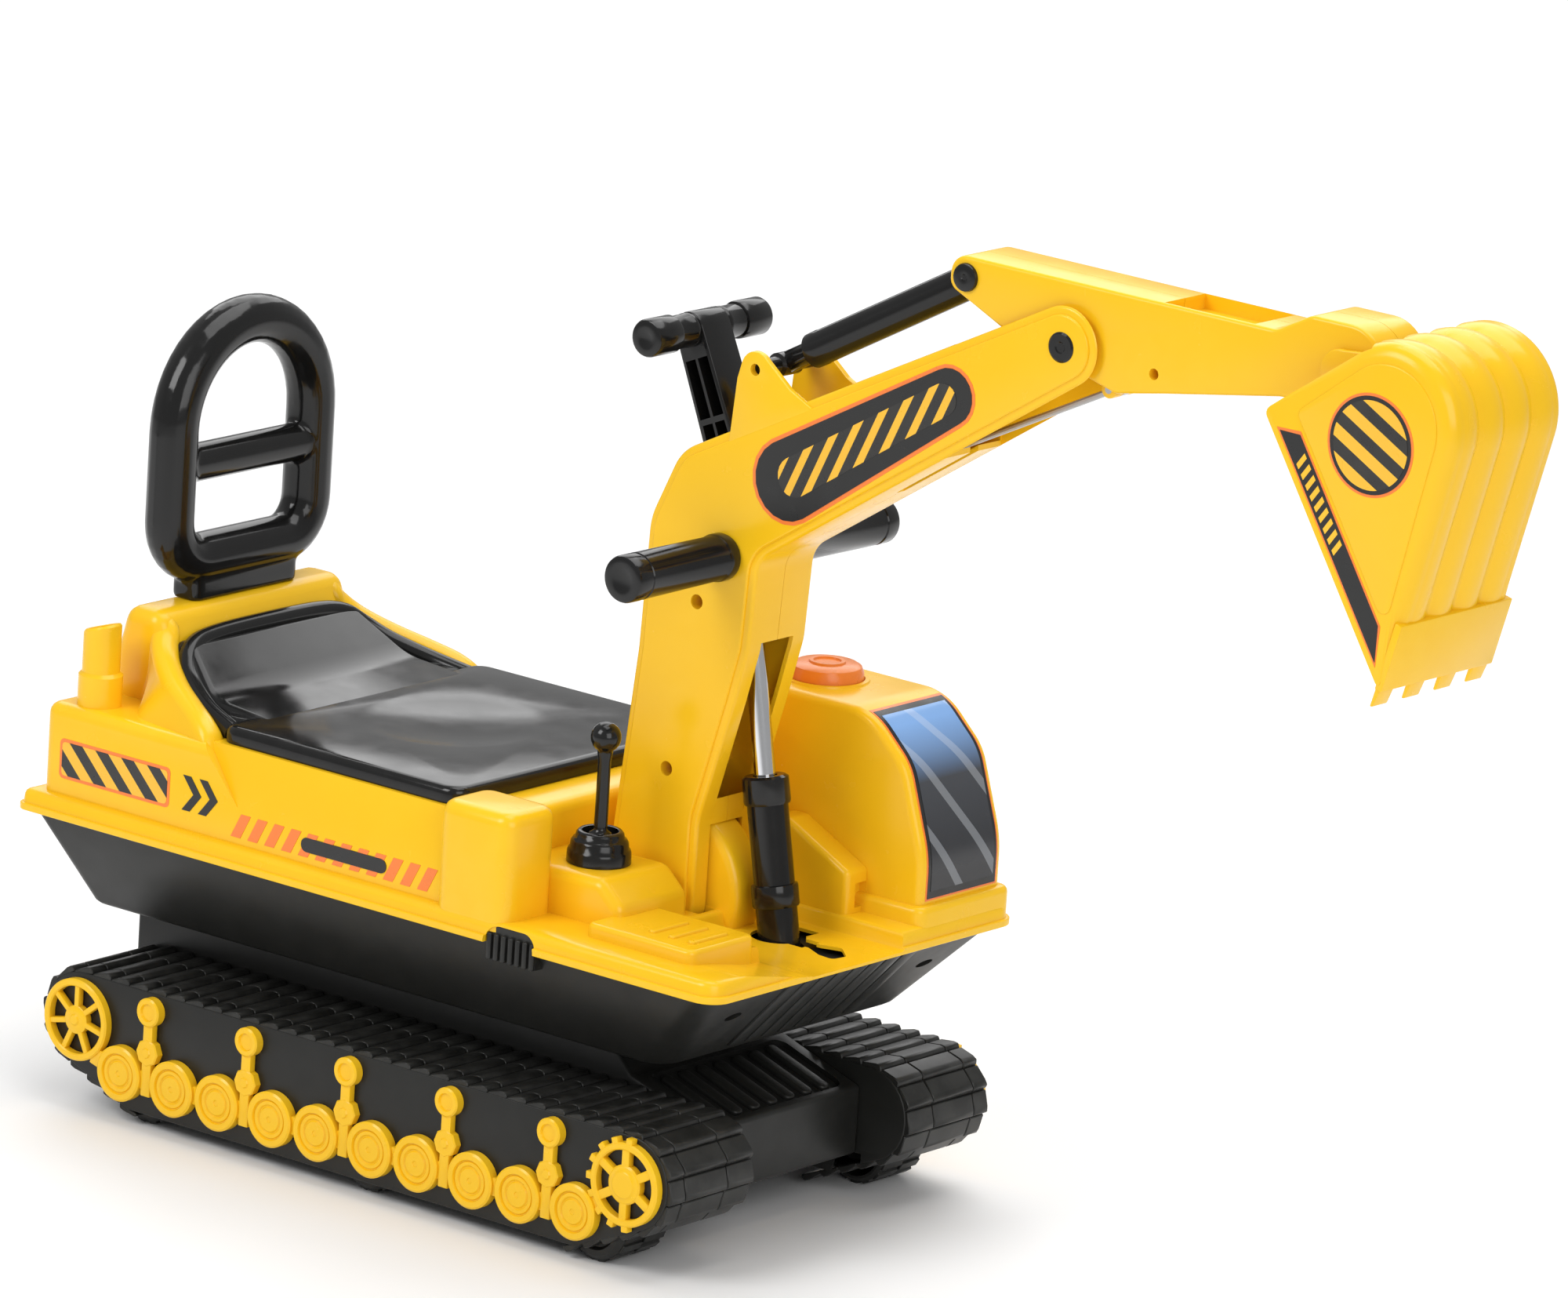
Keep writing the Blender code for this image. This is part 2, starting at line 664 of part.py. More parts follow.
# Chassis: tunnel shell between the tracks, with bearing tabs for the axles and a ribbed footboard in front
CHASSIS_HALF = TRACK_INNER_Y - TOUCH_GAP
AXLE_Z = WHEEL_RADIUS
tabs = []
for x in WHEEL_XS:
    tabs += [(x - BEARING_HALF * 1.2, CHASSIS_BOTTOM_Z), (x - BEARING_HALF * 0.8, BEARING_DROP_Z),
             (x + BEARING_HALF * 0.8, BEARING_DROP_Z), (x + BEARING_HALF * 1.2, CHASSIS_BOTTOM_Z)]
chassis_outline = [(CHASSIS_REAR_X, CHASSIS_BOTTOM_Z), *tabs, (CHASSIS_FRONT_X, CHASSIS_BOTTOM_Z),
                   (CHASSIS_FRONT_X, FOOTBOARD_Z), (RIDGE_X, RIDGE_Z),
                   (TUNNEL_FRONT_X, TUNNEL_TOP_Z), (CHASSIS_REAR_X, TUNNEL_TOP_Z)]
chassis = add("chassis", plate([chassis_outline], -CHASSIS_HALF, CHASSIS_HALF), MACHINE, DARK)
hollow_top = TUNNEL_TOP_Z - CHASSIS_WALL
hollow_front = CHASSIS_FRONT_X - CHASSIS_WALL
footboard_under = FOOTBOARD_Z - FOOTBOARD_FLOOR
chassis_hollow = [(CHASSIS_REAR_X + CHASSIS_WALL, 0.0), (hollow_front, 0.0), (hollow_front, footboard_under),
                  (RIDGE_X, RIDGE_Z - FOOTBOARD_FLOOR),
                  (TUNNEL_FRONT_X - CHASSIS_WALL, hollow_top), (CHASSIS_REAR_X + CHASSIS_WALL, hollow_top)]
cut(chassis, plate([chassis_hollow], CHASSIS_WALL - CHASSIS_HALF, CHASSIS_HALF - CHASSIS_WALL))
groove_pitch = FOOTBOARD_WIDTH / (FOOTBOARD_RIBS + 1)
ramp_start, ramp_end = Vector((RIDGE_X, RIDGE_Z)), Vector((CHASSIS_FRONT_X, FOOTBOARD_Z))
groove_rise = Vector((0.0, FOOTBOARD_GROOVE_DEPTH))
groove_start, groove_end = ramp_start.lerp(ramp_end, 0.14), ramp_start.lerp(ramp_end, 0.90)
groove = [tuple(groove_start - groove_rise), tuple(groove_end - groove_rise), tuple(groove_end + groove_rise),
          tuple(groove_start + groove_rise)]
grooves = []
for i in range(FOOTBOARD_RIBS + 1):
    middle = (i - FOOTBOARD_RIBS / 2) * groove_pitch
    grooves.append(plate([groove], middle - groove_pitch * 0.36, middle + groove_pitch * 0.36))
cut(chassis, *grooves)
holes = [cross_bar((x, AXLE_Z), AXLE_RADIUS + PIN_GAP, TRACK_OUTER_Y, 16) for x in WHEEL_XS]
holes.append(bar((0, 0, CHASSIS_BOTTOM_Z), (0, 0, HULL_BOTTOM_Z), KING_BOLT_RADIUS + PIN_GAP))
cut(chassis, *holes)

# Steel axles and the six running wheels, hollow on the inner side
wheel_half = WHEEL_WIDTH / 2
rim_inner = WHEEL_RADIUS - WHEEL_RIM
wheel_bore = AXLE_RADIUS + PIN_GAP
wheel_profile = [(WHEEL_RADIUS - WHEEL_RIM * 0.6, wheel_half), (WHEEL_RADIUS, wheel_half - WHEEL_RIM * 0.6),
                 (WHEEL_RADIUS, -wheel_half + WHEEL_RIM * 0.4),
                 (WHEEL_RADIUS - WHEEL_RIM * 0.4, -wheel_half), (rim_inner, -wheel_half),
                 (rim_inner, wheel_half - WHEEL_RIM), (WHEEL_HUB, wheel_half - WHEEL_RIM),
                 (WHEEL_HUB, -wheel_half), (wheel_bore, -wheel_half), (wheel_bore, wheel_half)]
axle_half = WHEEL_MIDDLE_Y + wheel_half + AXLE_OVERHANG
for x, place in zip(WHEEL_XS, ("rear", "middle", "front")):
    turned(f"axle_{place}", [(0.0, axle_half), (AXLE_RADIUS, axle_half), (AXLE_RADIUS, -axle_half),
                             (0.0, -axle_half)], (x, 0.0, AXLE_Z), MACHINE, STEEL, (0.0, 1.0, 0.0), steps=10)
    for side, name in ((-1, "right"), (1, "left")):
        axis = joint(f"wheel_axis_{name}_{place}", (x, side * WHEEL_MIDDLE_Y, AXLE_Z), MACHINE)
        turned(f"wheel_{name}_{place}", wheel_profile, axis["at"], axis, DARK, (0.0, side, 0.0), bored=True)

# Turntable ring, king bolt and its washer
ring_top = HULL_BOTTOM_Z - SWIVEL_GAP
ring_bottom = TUNNEL_TOP_Z + TOUCH_GAP
ring_inner = TURNTABLE_RADIUS - TURNTABLE_WIDTH
turned("turntable_ring", [(TURNTABLE_RADIUS, ring_top), (TURNTABLE_RADIUS, ring_bottom),
                          (ring_inner, ring_bottom), (ring_inner, ring_top)],
       (0.0, 0.0, 0.0), MACHINE, DARK, bored=True, steps=28)
washer_bottom = HULL_BOTTOM_Z + HULL_WALL + SWIVEL_GAP
washer_top = washer_bottom + KING_WASHER_HEIGHT
head_bottom = washer_top + TOUCH_GAP
head_top = head_bottom + KING_HEAD_HEIGHT
nut_top = TUNNEL_TOP_Z - CHASSIS_WALL - TOUCH_GAP
nut_bottom = nut_top - KING_HEAD_HEIGHT
turned("king_bolt", [(0.0, head_top), (KING_HEAD_RADIUS, head_top), (KING_HEAD_RADIUS, head_bottom),
                     (KING_BOLT_RADIUS, head_bottom), (KING_BOLT_RADIUS, nut_top),
                     (KING_HEAD_RADIUS, nut_top), (KING_HEAD_RADIUS, nut_bottom), (0.0, nut_bottom)],
       (0.0, 0.0, 0.0), MACHINE, STEEL)
turned("king_bolt_washer", [(KING_WASHER_RADIUS, washer_top), (KING_WASHER_RADIUS, washer_bottom),
                            (KING_BOLT_RADIUS + PIN_GAP, washer_bottom),
                            (KING_BOLT_RADIUS + PIN_GAP, washer_top)],
       (0.0, 0.0, 0.0), MACHINE, STEEL, bored=True)


# Lower shell: boat-shaped tub whose rim stands inside the upper shell's lip
def footprint(size, radius):
    """Round-cornered plan outline from (rear x, front x, half width)."""
    rear, front, half = size
    return rounded_rectangle((rear, front), (-half, half), radius)


rim_top = DECK_Z - BODY_WALL - TOUCH_GAP
hull = add("lower_shell", loft([(HULL_BOTTOM_Z, footprint(HULL_BOTTOM, HULL_CORNER)),
                                (LIP_BOTTOM_Z, footprint(HULL_SHOULDER, HULL_CORNER)),
                                (rim_top, footprint(HULL_SHOULDER, HULL_CORNER))], open_top=True), CAB, DARK)
skin = hull.modifiers.new("wall", "SOLIDIFY")
skin.thickness = HULL_WALL
skin.offset = -1.0
skin.use_even_offset = True
cut(hull, bar((0, 0, TUNNEL_TOP_Z), (0, 0, LIP_BOTTOM_Z), KING_BOLT_RADIUS + PIN_GAP * 2))

# Upper shell: lip, body block, rear hump, exhaust stub, fenders and the blocks on the front deck, all of them
# one hollow moulding
sunk = DECK_Z - BODY_WALL / 2
lip_half, body_half = LIP[2], BODY[2]
upper = add("upper_shell", block(LIP[:2], (-lip_half, lip_half), (LIP_BOTTOM_Z, DECK_Z), BODY_CORNER, 0.003),
            CAB, YELLOW)
hump_outline = filleted([(HUMP_REAR_X, BODY_TOP_Z - 0.02, 0.0), (HUMP_ARM_X, BODY_TOP_Z - 0.02, 0.0),
                         (HUMP_ARM_X, BODY_TOP_Z, 0.0), (HUMP_FRONT_X, HUMP_TOP_Z - 0.028, 0.025),
                         (HUMP_FRONT_X - 0.014, HUMP_TOP_Z, 0.012), (HUMP_REAR_X + 0.008, HUMP_TOP_Z, 0.015)])
fender_y = FENDER[2:]
fenders = [block(FENDER[:2], span, (sunk, FENDER_TOP_Z), 0.012, 0.006)
           for span in (fender_y, (-fender_y[1], -fender_y[0]))]
console_outline = [(CONSOLE_X[0], sunk), (CONSOLE_X[1], sunk), (CONSOLE_X[1], CONSOLE_NOSE_Z),
                   (CONSOLE_X[1] - 0.020, CONSOLE_Z), (CONSOLE_X[0], CONSOLE_Z)]
ledge_outline = [(LEDGE[0], sunk), (LEDGE[1], sunk), (LEDGE[1], LEDGE_STEP[1]), LEDGE_STEP,
                 (LEDGE_STEP[0], LEDGE_Z), (LEDGE[0], LEDGE_Z)]
exhaust_foot = (*EXHAUST_AT, BODY_TOP_Z - BODY_WALL / 2)
join(upper, block(BODY[:2], (-body_half, body_half), (sunk, BODY_TOP_Z), BODY_CORNER, 0.008))
join(upper, plate([hump_outline], -HUMP_HALF, HUMP_HALF),
     bar(exhaust_foot, (*EXHAUST_AT, EXHAUST_STEP_Z), EXHAUST_RADII[0]),
     bar(exhaust_foot, (*EXHAUST_AT, EXHAUST_TOP_Z), EXHAUST_RADII[1]))
join(upper, *fenders, plate([console_outline], *CONSOLE_Y), plate([ledge_outline], *LEDGE[2:]),
     block(STEP_BLOCK[:2], STEP_BLOCK[2:], (sunk, STEP_BLOCK_Z), 0.008, 0.004))
lip_inner = block((LIP[0] + BODY_WALL, LIP[1] - BODY_WALL), (BODY_WALL - lip_half, lip_half - BODY_WALL),
                  (LIP_BOTTOM_Z - BODY_WALL, DECK_Z - BODY_WALL), BODY_CORNER - BODY_WALL)
body_inner = block((BODY[0] + BODY_WALL, BODY[1] - BODY_WALL), (BODY_WALL - body_half, body_half - BODY_WALL),
                   (LIP_BOTTOM_Z, BODY_TOP_Z - BODY_WALL), BODY_CORNER - BODY_WALL)
cut(upper, lip_inner)
cut(upper, body_inner)


def core(x, y, top):
    """Hollow under a block of the deck, open to the inside of the lip."""
    return box((x[0] + BODY_WALL, x[1] - BODY_WALL), (y[0] + BODY_WALL, y[1] - BODY_WALL),
               (LIP_BOTTOM_Z + BODY_WALL, top - BODY_WALL))


fender_top = FENDER_TOP_Z - BODY_WALL
console_room = (CONSOLE_X[0] + 2 * BODY_WALL, CONSOLE_X[1] - 0.020)
cut(upper, core(FENDER[:2], fender_y, fender_top), core(FENDER[:2], (-fender_y[1], -fender_y[0]), fender_top),
    core(console_room, CONSOLE_Y, CONSOLE_Z), core((LEDGE[0], LEDGE_STEP[0]), LEDGE[2:], LEDGE_Z),
    core(STEP_BLOCK[:2], STEP_BLOCK[2:], STEP_BLOCK_Z))
core_front = HUMP_FRONT_X - 2 * BODY_WALL
core_top = HUMP_TOP_Z - BODY_WALL
hump_core = [(HUMP_REAR_X + BODY_WALL, LIP_BOTTOM_Z), (core_front, LIP_BOTTOM_Z),
             (core_front, core_top - 0.030), (core_front - 0.009, core_top), (HUMP_REAR_X + 0.014, core_top)]
cut(upper, plate([hump_core], BODY_WALL - HUMP_HALF, HUMP_HALF - BODY_WALL))
seat_back_half = HUMP_HALF - HUMP_ARM
cut(upper, box((HUMP_FRONT_X, HUMP_ARM_X + 0.02), (-seat_back_half, seat_back_half),
               (BODY_TOP_Z, HUMP_TOP_Z + 0.02)))
knuckle = cross_bar(LIFT_PIN, KNUCKLE_RADIUS, KNUCKLE_HALF, 36)
leg_rear = BODY[1] + BODY_WALL
leg_front = LIFT_PIN.x + KNUCKLE_RADIUS * 0.9
leg_slot = (-BOOM_HALF - PIN_GAP * 6, BOOM_HALF + PIN_GAP * 6)
strut_slot = STRUT_COLLAR + PIN_GAP * 4
cut(upper, box((leg_rear, leg_front), leg_slot, (LIP_BOTTOM_Z, DECK_Z + BODY_WALL)),
    box((STRUT_FOOT.x - strut_slot * 1.15, STRUT_FOOT.x + strut_slot * 1.15), (-strut_slot, strut_slot),
        (LIP_BOTTOM_Z, DECK_Z + BODY_WALL)))
knuckle_web = box((BODY[1] - BODY_WALL, leg_front + BODY_WALL), (-KNUCKLE_HALF, KNUCKLE_HALF),
                  (DECK_Z - 2 * BODY_WALL, DECK_Z + BODY_WALL))
join(upper, knuckle, knuckle_web)
cut(upper, cross_bar(LIFT_PIN, LIFT_PIN_RADIUS + PIN_GAP, BOOM_HALF, 16))
cut(upper, box((LIFT_PIN.x - KNUCKLE_RADIUS * 1.2, LIFT_PIN.x + KNUCKLE_RADIUS * 1.2),
               (-2 * KNUCKLE_HALF, 2 * KNUCKLE_HALF), (HULL_BOTTOM_Z, LIFT_PIN.y - 3 * LIFT_PIN_RADIUS)))

# Seat: thin black pan whose rear lip stands in the hump's hollow
seat_low = BODY_TOP_Z + TOUCH_GAP
seat_rear = HUMP_FRONT_X + TOUCH_GAP
seat_shoulder = HUMP_ARM_X + TOUCH_GAP * 2
seat_pan = block((seat_shoulder, SEAT_FRONT_X), (-SEAT_HALF, SEAT_HALF), (seat_low, SEAT_TOP_Z), 0.012, 0.005)
seat = add("seat", seat_pan, CAB, BLACK)
tongue_half = seat_back_half - TOUCH_GAP
seat_rise = seat_shoulder + 0.05
seat_tongue = [(seat_rear, seat_low), (seat_rise, seat_low), (seat_rise, SEAT_TOP_Z - 0.002),
               (seat_shoulder, SEAT_TOP_Z + 0.006), (seat_rear + 0.012, SEAT_REAR_Z),
               (seat_rear, SEAT_REAR_Z)]
join(seat, plate([seat_tongue], -tongue_half, tongue_half))
cut(seat, block((seat_shoulder + SEAT_WALL, SEAT_FRONT_X - SEAT_WALL),
                (SEAT_WALL - SEAT_HALF, SEAT_HALF - SEAT_WALL),
                (seat_low - SEAT_WALL, SEAT_TOP_Z - SEAT_WALL), 0.009))


# Backrest: a fat round loop with a middle bar, on a wide foot that stands on the hump
def tube(points, radius, closed, resolution=2):
    """Round tube along a line of points, as a closed mesh."""
    curve = bpy.data.curves.new("tube", "CURVE")
    curve.dimensions = "3D"
    curve.bevel_depth = radius
    curve.bevel_resolution = resolution
    curve.use_fill_caps = not closed
    spline = curve.splines.new("POLY")
    spline.points.add(len(points) - 1)
    spline.use_cyclic_u = closed
    for point, place in zip(spline.points, points):
        point.co = (*place, 1.0)
    holder = bpy.data.objects.new("tube", curve)
    drawing_board.objects.link(holder)
    mesh = bpy.data.meshes.new_from_object(holder.evaluated_get(bpy.context.evaluated_depsgraph_get()))
    bpy.data.objects.remove(holder)
    bpy.data.curves.remove(curve)
    work = bmesh.new()
    work.from_mesh(mesh)
    bpy.data.meshes.remove(mesh)
    return closed_mesh(work)


arch_z = BACKREST_TOP_Z - BACKREST_HALF
loop = arc((0.0, arch_z), BACKREST_HALF, 0, 180, 12)
for sign in (-1, 1):
    corner = (sign * (BACKREST_HALF - 0.03), BACKREST_BOTTOM_Z + 0.03)
    loop += arc(corner, 0.03, 180 if sign < 0 else 270, 270 if sign < 0 else 360, 4)
backrest = add("backrest", tube([(BACKREST_X, y, z) for y, z in loop], BACKREST_TUBE, True), CAB, BLACK)
foot_low = HUMP_TOP_Z + TOUCH_GAP
join(backrest, bar((BACKREST_X, -BACKREST_HALF, BACKREST_BAR_Z), (BACKREST_X, BACKREST_HALF, BACKREST_BAR_Z),
                   BACKREST_BAR, 16),
     box((BACKREST_X - BACKREST_TUBE * 0.7, BACKREST_X + BACKREST_TUBE * 0.7),
         (-BACKREST_POST_HALF, BACKREST_POST_HALF), (foot_low, BACKREST_BOTTOM_Z)))

# Cab hood: quarter-round shell at the front left, with the horn button in its top and the sound box inside
hood_low = DECK_Z + TOUCH_GAP
hood_corners = [(HOOD_X[0], hood_low, 0.0), (HOOD_X[1], hood_low, 0.0), (HOOD_X[1], hood_low + 0.05, 0.09),
                (HOOD_X[1] - 0.022, HOOD_TOP_Z - 0.035, 0.045), (HOOD_X[1] - 0.060, HOOD_TOP_Z, 0.050),
                (HOOD_X[0], HOOD_TOP_Z, 0.012)]
hood_outline = filleted(hood_corners, 5)
hood = add("cab_hood", plate([hood_outline], *HOOD_Y), CAB, YELLOW)
hood_hollow = [(x, z if z > hood_low + HOOD_WALL * 2 else hood_low - HOOD_WALL)
               for x, z in inset(hood_outline, HOOD_WALL)]
hood_span = (HOOD_Y[0] + HOOD_WALL, HOOD_Y[1] - HOOD_WALL)
cut(hood, plate([hood_hollow], *hood_span))
cut(hood, bar((*BUTTON_AT, HOOD_TOP_Z - 4 * HOOD_WALL), (*BUTTON_AT, HOOD_TOP_Z + HOOD_WALL),
              BUTTON_RADIUS + PIN_GAP, 28))
button_axis = joint("button_axis", (*BUTTON_AT, HOOD_TOP_Z), CAB)
flange_top = HOOD_TOP_Z - HOOD_WALL - TOUCH_GAP
button_top = HOOD_TOP_Z + BUTTON_HEIGHT
turned("horn_button", [(0.0, button_top), (BUTTON_RADIUS * 0.55, button_top - 0.001),
                       (BUTTON_RADIUS * 0.9, button_top - 0.005), (BUTTON_RADIUS, button_top - 0.009),
                       (BUTTON_RADIUS, flange_top), (BUTTON_RADIUS + BUTTON_FLANGE, flange_top),
                       (BUTTON_RADIUS + BUTTON_FLANGE, flange_top - BUTTON_FLANGE),
                       (0.0, flange_top - BUTTON_FLANGE)],
       (*BUTTON_AT, 0.0), button_axis, ORANGE, steps=28)
sound_top = flange_top - BUTTON_FLANGE - BUTTON_TRAVEL - TOUCH_GAP
add("sound_box", box(SOUND_BOX_X, (hood_span[0] + TOUCH_GAP, hood_span[1] - TOUCH_GAP),
                     (sound_top - SOUND_BOX_HEIGHT, sound_top)), CAB, DARK)

# Joystick: ball-ended lever in a domed socket on the console
socket_low = CONSOLE_Z + TOUCH_GAP
socket_top = socket_low + SOCKET_HEIGHT
turned("joystick_socket", [(SOCKET_BORE, socket_top), (SOCKET_RADIUS * 0.75, socket_top - 0.003),
                           (SOCKET_RADIUS * 0.96, socket_top - 0.011), (SOCKET_RADIUS, socket_low),
                           (SOCKET_BORE, socket_low)], (*STICK_AT, 0.0), CAB, BLACK, bored=True)
ball_z = socket_low + JOYSTICK_BALL + PIN_GAP
joystick_axis = joint("joystick_axis", (*STICK_AT, ball_z), CAB)
joystick = add("joystick", ball((*STICK_AT, ball_z), JOYSTICK_BALL), joystick_axis, BLACK)
join(joystick, bar((*STICK_AT, ball_z), (*STICK_AT, JOYSTICK_KNOB_Z), JOYSTICK_SHAFT, 12),
     ball((*STICK_AT, JOYSTICK_KNOB_Z), JOYSTICK_KNOB))

# Boom halves: gooseneck column and boom, two hollow mouldings that meet in the middle plane
boom_slope = atan2(0.132, 0.262)
under_slope = radians(32.8)
elbow_arc = arc(ELBOW_PIN, ELBOW_RADIUS, 90 + boom_slope * 180 / pi, under_slope * 180 / pi - 90, 10)
column = [(0.237, 0.508, 0.024), (0.233, 0.438, 0.05), (0.222, 0.394, 0.06), (0.196, 0.300, 0.05),
          (LIFT_PIN.x + 0.038, LIFT_PIN.y - 0.034, 0.030), (LIFT_PIN.x - 0.038, LIFT_PIN.y - 0.034, 0.030),
          (0.115, 0.280, 0.03), (0.129, 0.420, 0.06), (0.133, 0.520, 0.05), (0.158, 0.575, 0.04)]
boom_outline = elbow_arc + filleted([(*elbow_arc[-1], 0.0), *column, (*elbow_arc[0], 0.0)], 3)[1:-1]
ear_tip = arc(LINK_FOOT, EAR_RADIUS, 165, 40, 6)
ear_outline = [(0.206, 0.592), (0.208, 0.640), *ear_tip, (0.262, 0.642), (0.276, 0.628)]
seam = TOUCH_GAP / 2
for side, name in ((-1, "right"), (1, "left")):
    def across(low, high):
        """Y range of a shape on this side of the arm."""
        return tuple(sorted((side * low, side * high)))

    half = add(f"boom_{name}", plate([boom_outline], *across(seam, BOOM_HALF)), BOOM, YELLOW)
    cut(half, plate([inset(boom_outline, BOOM_WALL)], *across(-seam, BOOM_HALF - BOOM_WALL)))
    boss_end = side * (BOOM_HALF - BOOM_WALL / 2)
    bosses = [bar(in_plane(spot, side * seam), in_plane(spot, boss_end), SCREW_BOSS, 12) for spot in SCREWS]
    join(half, plate([ear_outline], *across(BOOM_HALF - BOOM_WALL * 1.6, BOOM_HALF - PIN_GAP)), *bosses)
    fork = across(-seam, BOOM_HALF - BOOM_WALL - PIN_GAP)
    slot = across(-seam, LEG_SLOT_HALF)
    lever_slot = across(-seam, LEVER_HALF + PIN_GAP * 4)
    rod_slot = across(-seam, PUSH_ROD_RADIUS + PIN_GAP * 5)
    cut(half, box((FORK_MOUTH_X, ELBOW_PIN.x + 2 * ELBOW_RADIUS), fork, (0.6, 0.8)),
        box((FORK_MOUTH_X - 0.065, FORK_MOUTH_X + 0.004), rod_slot, (0.56, 0.65)),
        box((LEVER_PIN.x - 0.042, LEVER_PIN.x + 0.024), lever_slot,
            (LEVER_PIN.y + 0.008, LEVER_PIN.y + 0.06)),
        box((STRUT_HEAD.x - 0.014, STRUT_HEAD.x + 0.06), slot, (LIFT_PIN.y, STRUT_HEAD.y + 0.002)),
        bar(in_plane(LIFT_PIN, -side * seam), in_plane(LIFT_PIN, side * LEG_SLOT_HALF),
            KNUCKLE_RADIUS + PIN_GAP * 5, 28))
    reach = 2 * BOOM_HALF
    cut(half, cross_bar(ELBOW_PIN, ELBOW_PIN_RADIUS + PIN_GAP, reach, 16),
        cross_bar(LINK_FOOT, EAR_HOLE, reach, 12),
        cross_bar(HANDLEBAR, HANDLEBAR_RADIUS + PIN_GAP, reach, 16),
        cross_bar(LEVER_PIN, SMALL_PIN_RADIUS + PIN_GAP, reach, 12),
        cross_bar(LIFT_PIN, LIFT_PIN_RADIUS + PIN_GAP, reach, 16),
        *[cross_bar(spot, SCREW_RADIUS + PIN_GAP, reach, 12) for spot in SCREWS])
pin("lift_pin", LIFT_PIN, LIFT_PIN_RADIUS, BOOM_HALF + TOUCH_GAP, BOOM)
pin("elbow_pin", ELBOW_PIN, ELBOW_PIN_RADIUS, BOOM_HALF + TOUCH_GAP, BOOM)
pin("lever_pin", LEVER_PIN, SMALL_PIN_RADIUS, BOOM_HALF + TOUCH_GAP, BOOM, 0.002, 0.001)
for spot, place in zip(SCREWS, ("upper", "lower")):
    pin(f"column_screw_{place}", spot, SCREW_RADIUS, BOOM_HALF + TOUCH_GAP, BOOM, SCREW_HEAD - SCREW_RADIUS)

# Handlebar tube through the column, with a soft grip on each end
tube_half = HANDLEBAR_HALF - GRIP_CAP - TOUCH_GAP
tube_bore = HANDLEBAR_RADIUS - HANDLEBAR_WALL
turned("handlebar_tube", [(HANDLEBAR_RADIUS, tube_half), (HANDLEBAR_RADIUS, -tube_half),
                          (tube_bore, -tube_half), (tube_bore, tube_half)],
       in_plane(HANDLEBAR), BOOM, STEEL, (0.0, 1.0, 0.0), bored=True)
grip_bore = HANDLEBAR_RADIUS + TOUCH_GAP
grip_in = BOOM_HALF + TOUCH_GAP
for side, name in ((-1, "right"), (1, "left")):
    turned(f"grip_{name}", [(0.0, HANDLEBAR_HALF), (GRIP_RADIUS * 0.8, HANDLEBAR_HALF),
                            (GRIP_RADIUS, HANDLEBAR_HALF - GRIP_RADIUS * 0.25), (GRIP_RADIUS, grip_in),
                            (grip_bore, grip_in), (grip_bore, HANDLEBAR_HALF - GRIP_CAP),
                            (0.0, HANDLEBAR_HALF - GRIP_CAP)],
           in_plane(HANDLEBAR), BOOM, BLACK, (0.0, side, 0.0))

# Strut from the deck to the column: chrome rod sliding in a black sleeve
strut_line = STRUT_HEAD - STRUT_FOOT
strut_length = strut_line.length
strut_way = in_plane(strut_line.normalized())
strut_axis = joint("strut_axis", in_plane(STRUT_FOOT), CAB)
sleeve_low, sleeve_high = STRUT_SLEEVE_ENDS
(low_a, low_b), (high_a, high_b) = STRUT_COLLARS
bore_floor = sleeve_low + STRUT_BORE
turned("strut_sleeve", [(STRUT_BORE, sleeve_high), (STRUT_COLLAR, high_b), (STRUT_COLLAR, high_a),
                        (STRUT_SLEEVE_RADIUS, high_a), (STRUT_SLEEVE_RADIUS, low_b), (STRUT_COLLAR, low_b),
                        (STRUT_COLLAR, low_a), (STRUT_SLEEVE_RADIUS, low_a),
                        (STRUT_SLEEVE_RADIUS, sleeve_low), (0.0, sleeve_low), (0.0, bore_floor),
                        (STRUT_BORE, bore_floor)],
       in_plane(STRUT_FOOT), strut_axis, BLACK, strut_way, bored=True)
strut_slide = joint("strut_slide", in_plane(STRUT_FOOT), strut_axis)
turned("strut_rod", [(0.0, strut_length), (STRUT_ROD_RADIUS * 0.6, strut_length),
                     (STRUT_ROD_RADIUS, strut_length - STRUT_ROD_RADIUS * 0.4),
                     (STRUT_ROD_RADIUS, STRUT_ROD_START), (0.0, STRUT_ROD_START)],
       in_plane(STRUT_FOOT), strut_slide, CHROME, strut_way)


# T-lever: tapered bell crank in the boom's shoulder, with the T-bar through its head
def tapered(points, radii, steps=6):
    """Outline round a bent strap, with a round end and a width at each of its three points."""
    first, middle, last = points

    def normal(a, b):
        way = (b - a).normalized()
        return Vector((-way.y, way.x))

    upper_side, lower_side = normal(first, middle), normal(middle, last)
    bend = (upper_side + lower_side).normalized()
    head = atan2(upper_side.y, upper_side.x) * 180 / pi
    tail = atan2(lower_side.y, lower_side.x) * 180 / pi
    outline = arc(first, radii[0], head, head + 180, steps)
    outline.append(tuple(middle - bend * radii[1]))
    outline += arc(last, radii[2], tail - 180, tail, steps)
    outline.append(tuple(middle + bend * radii[1]))
    return outline


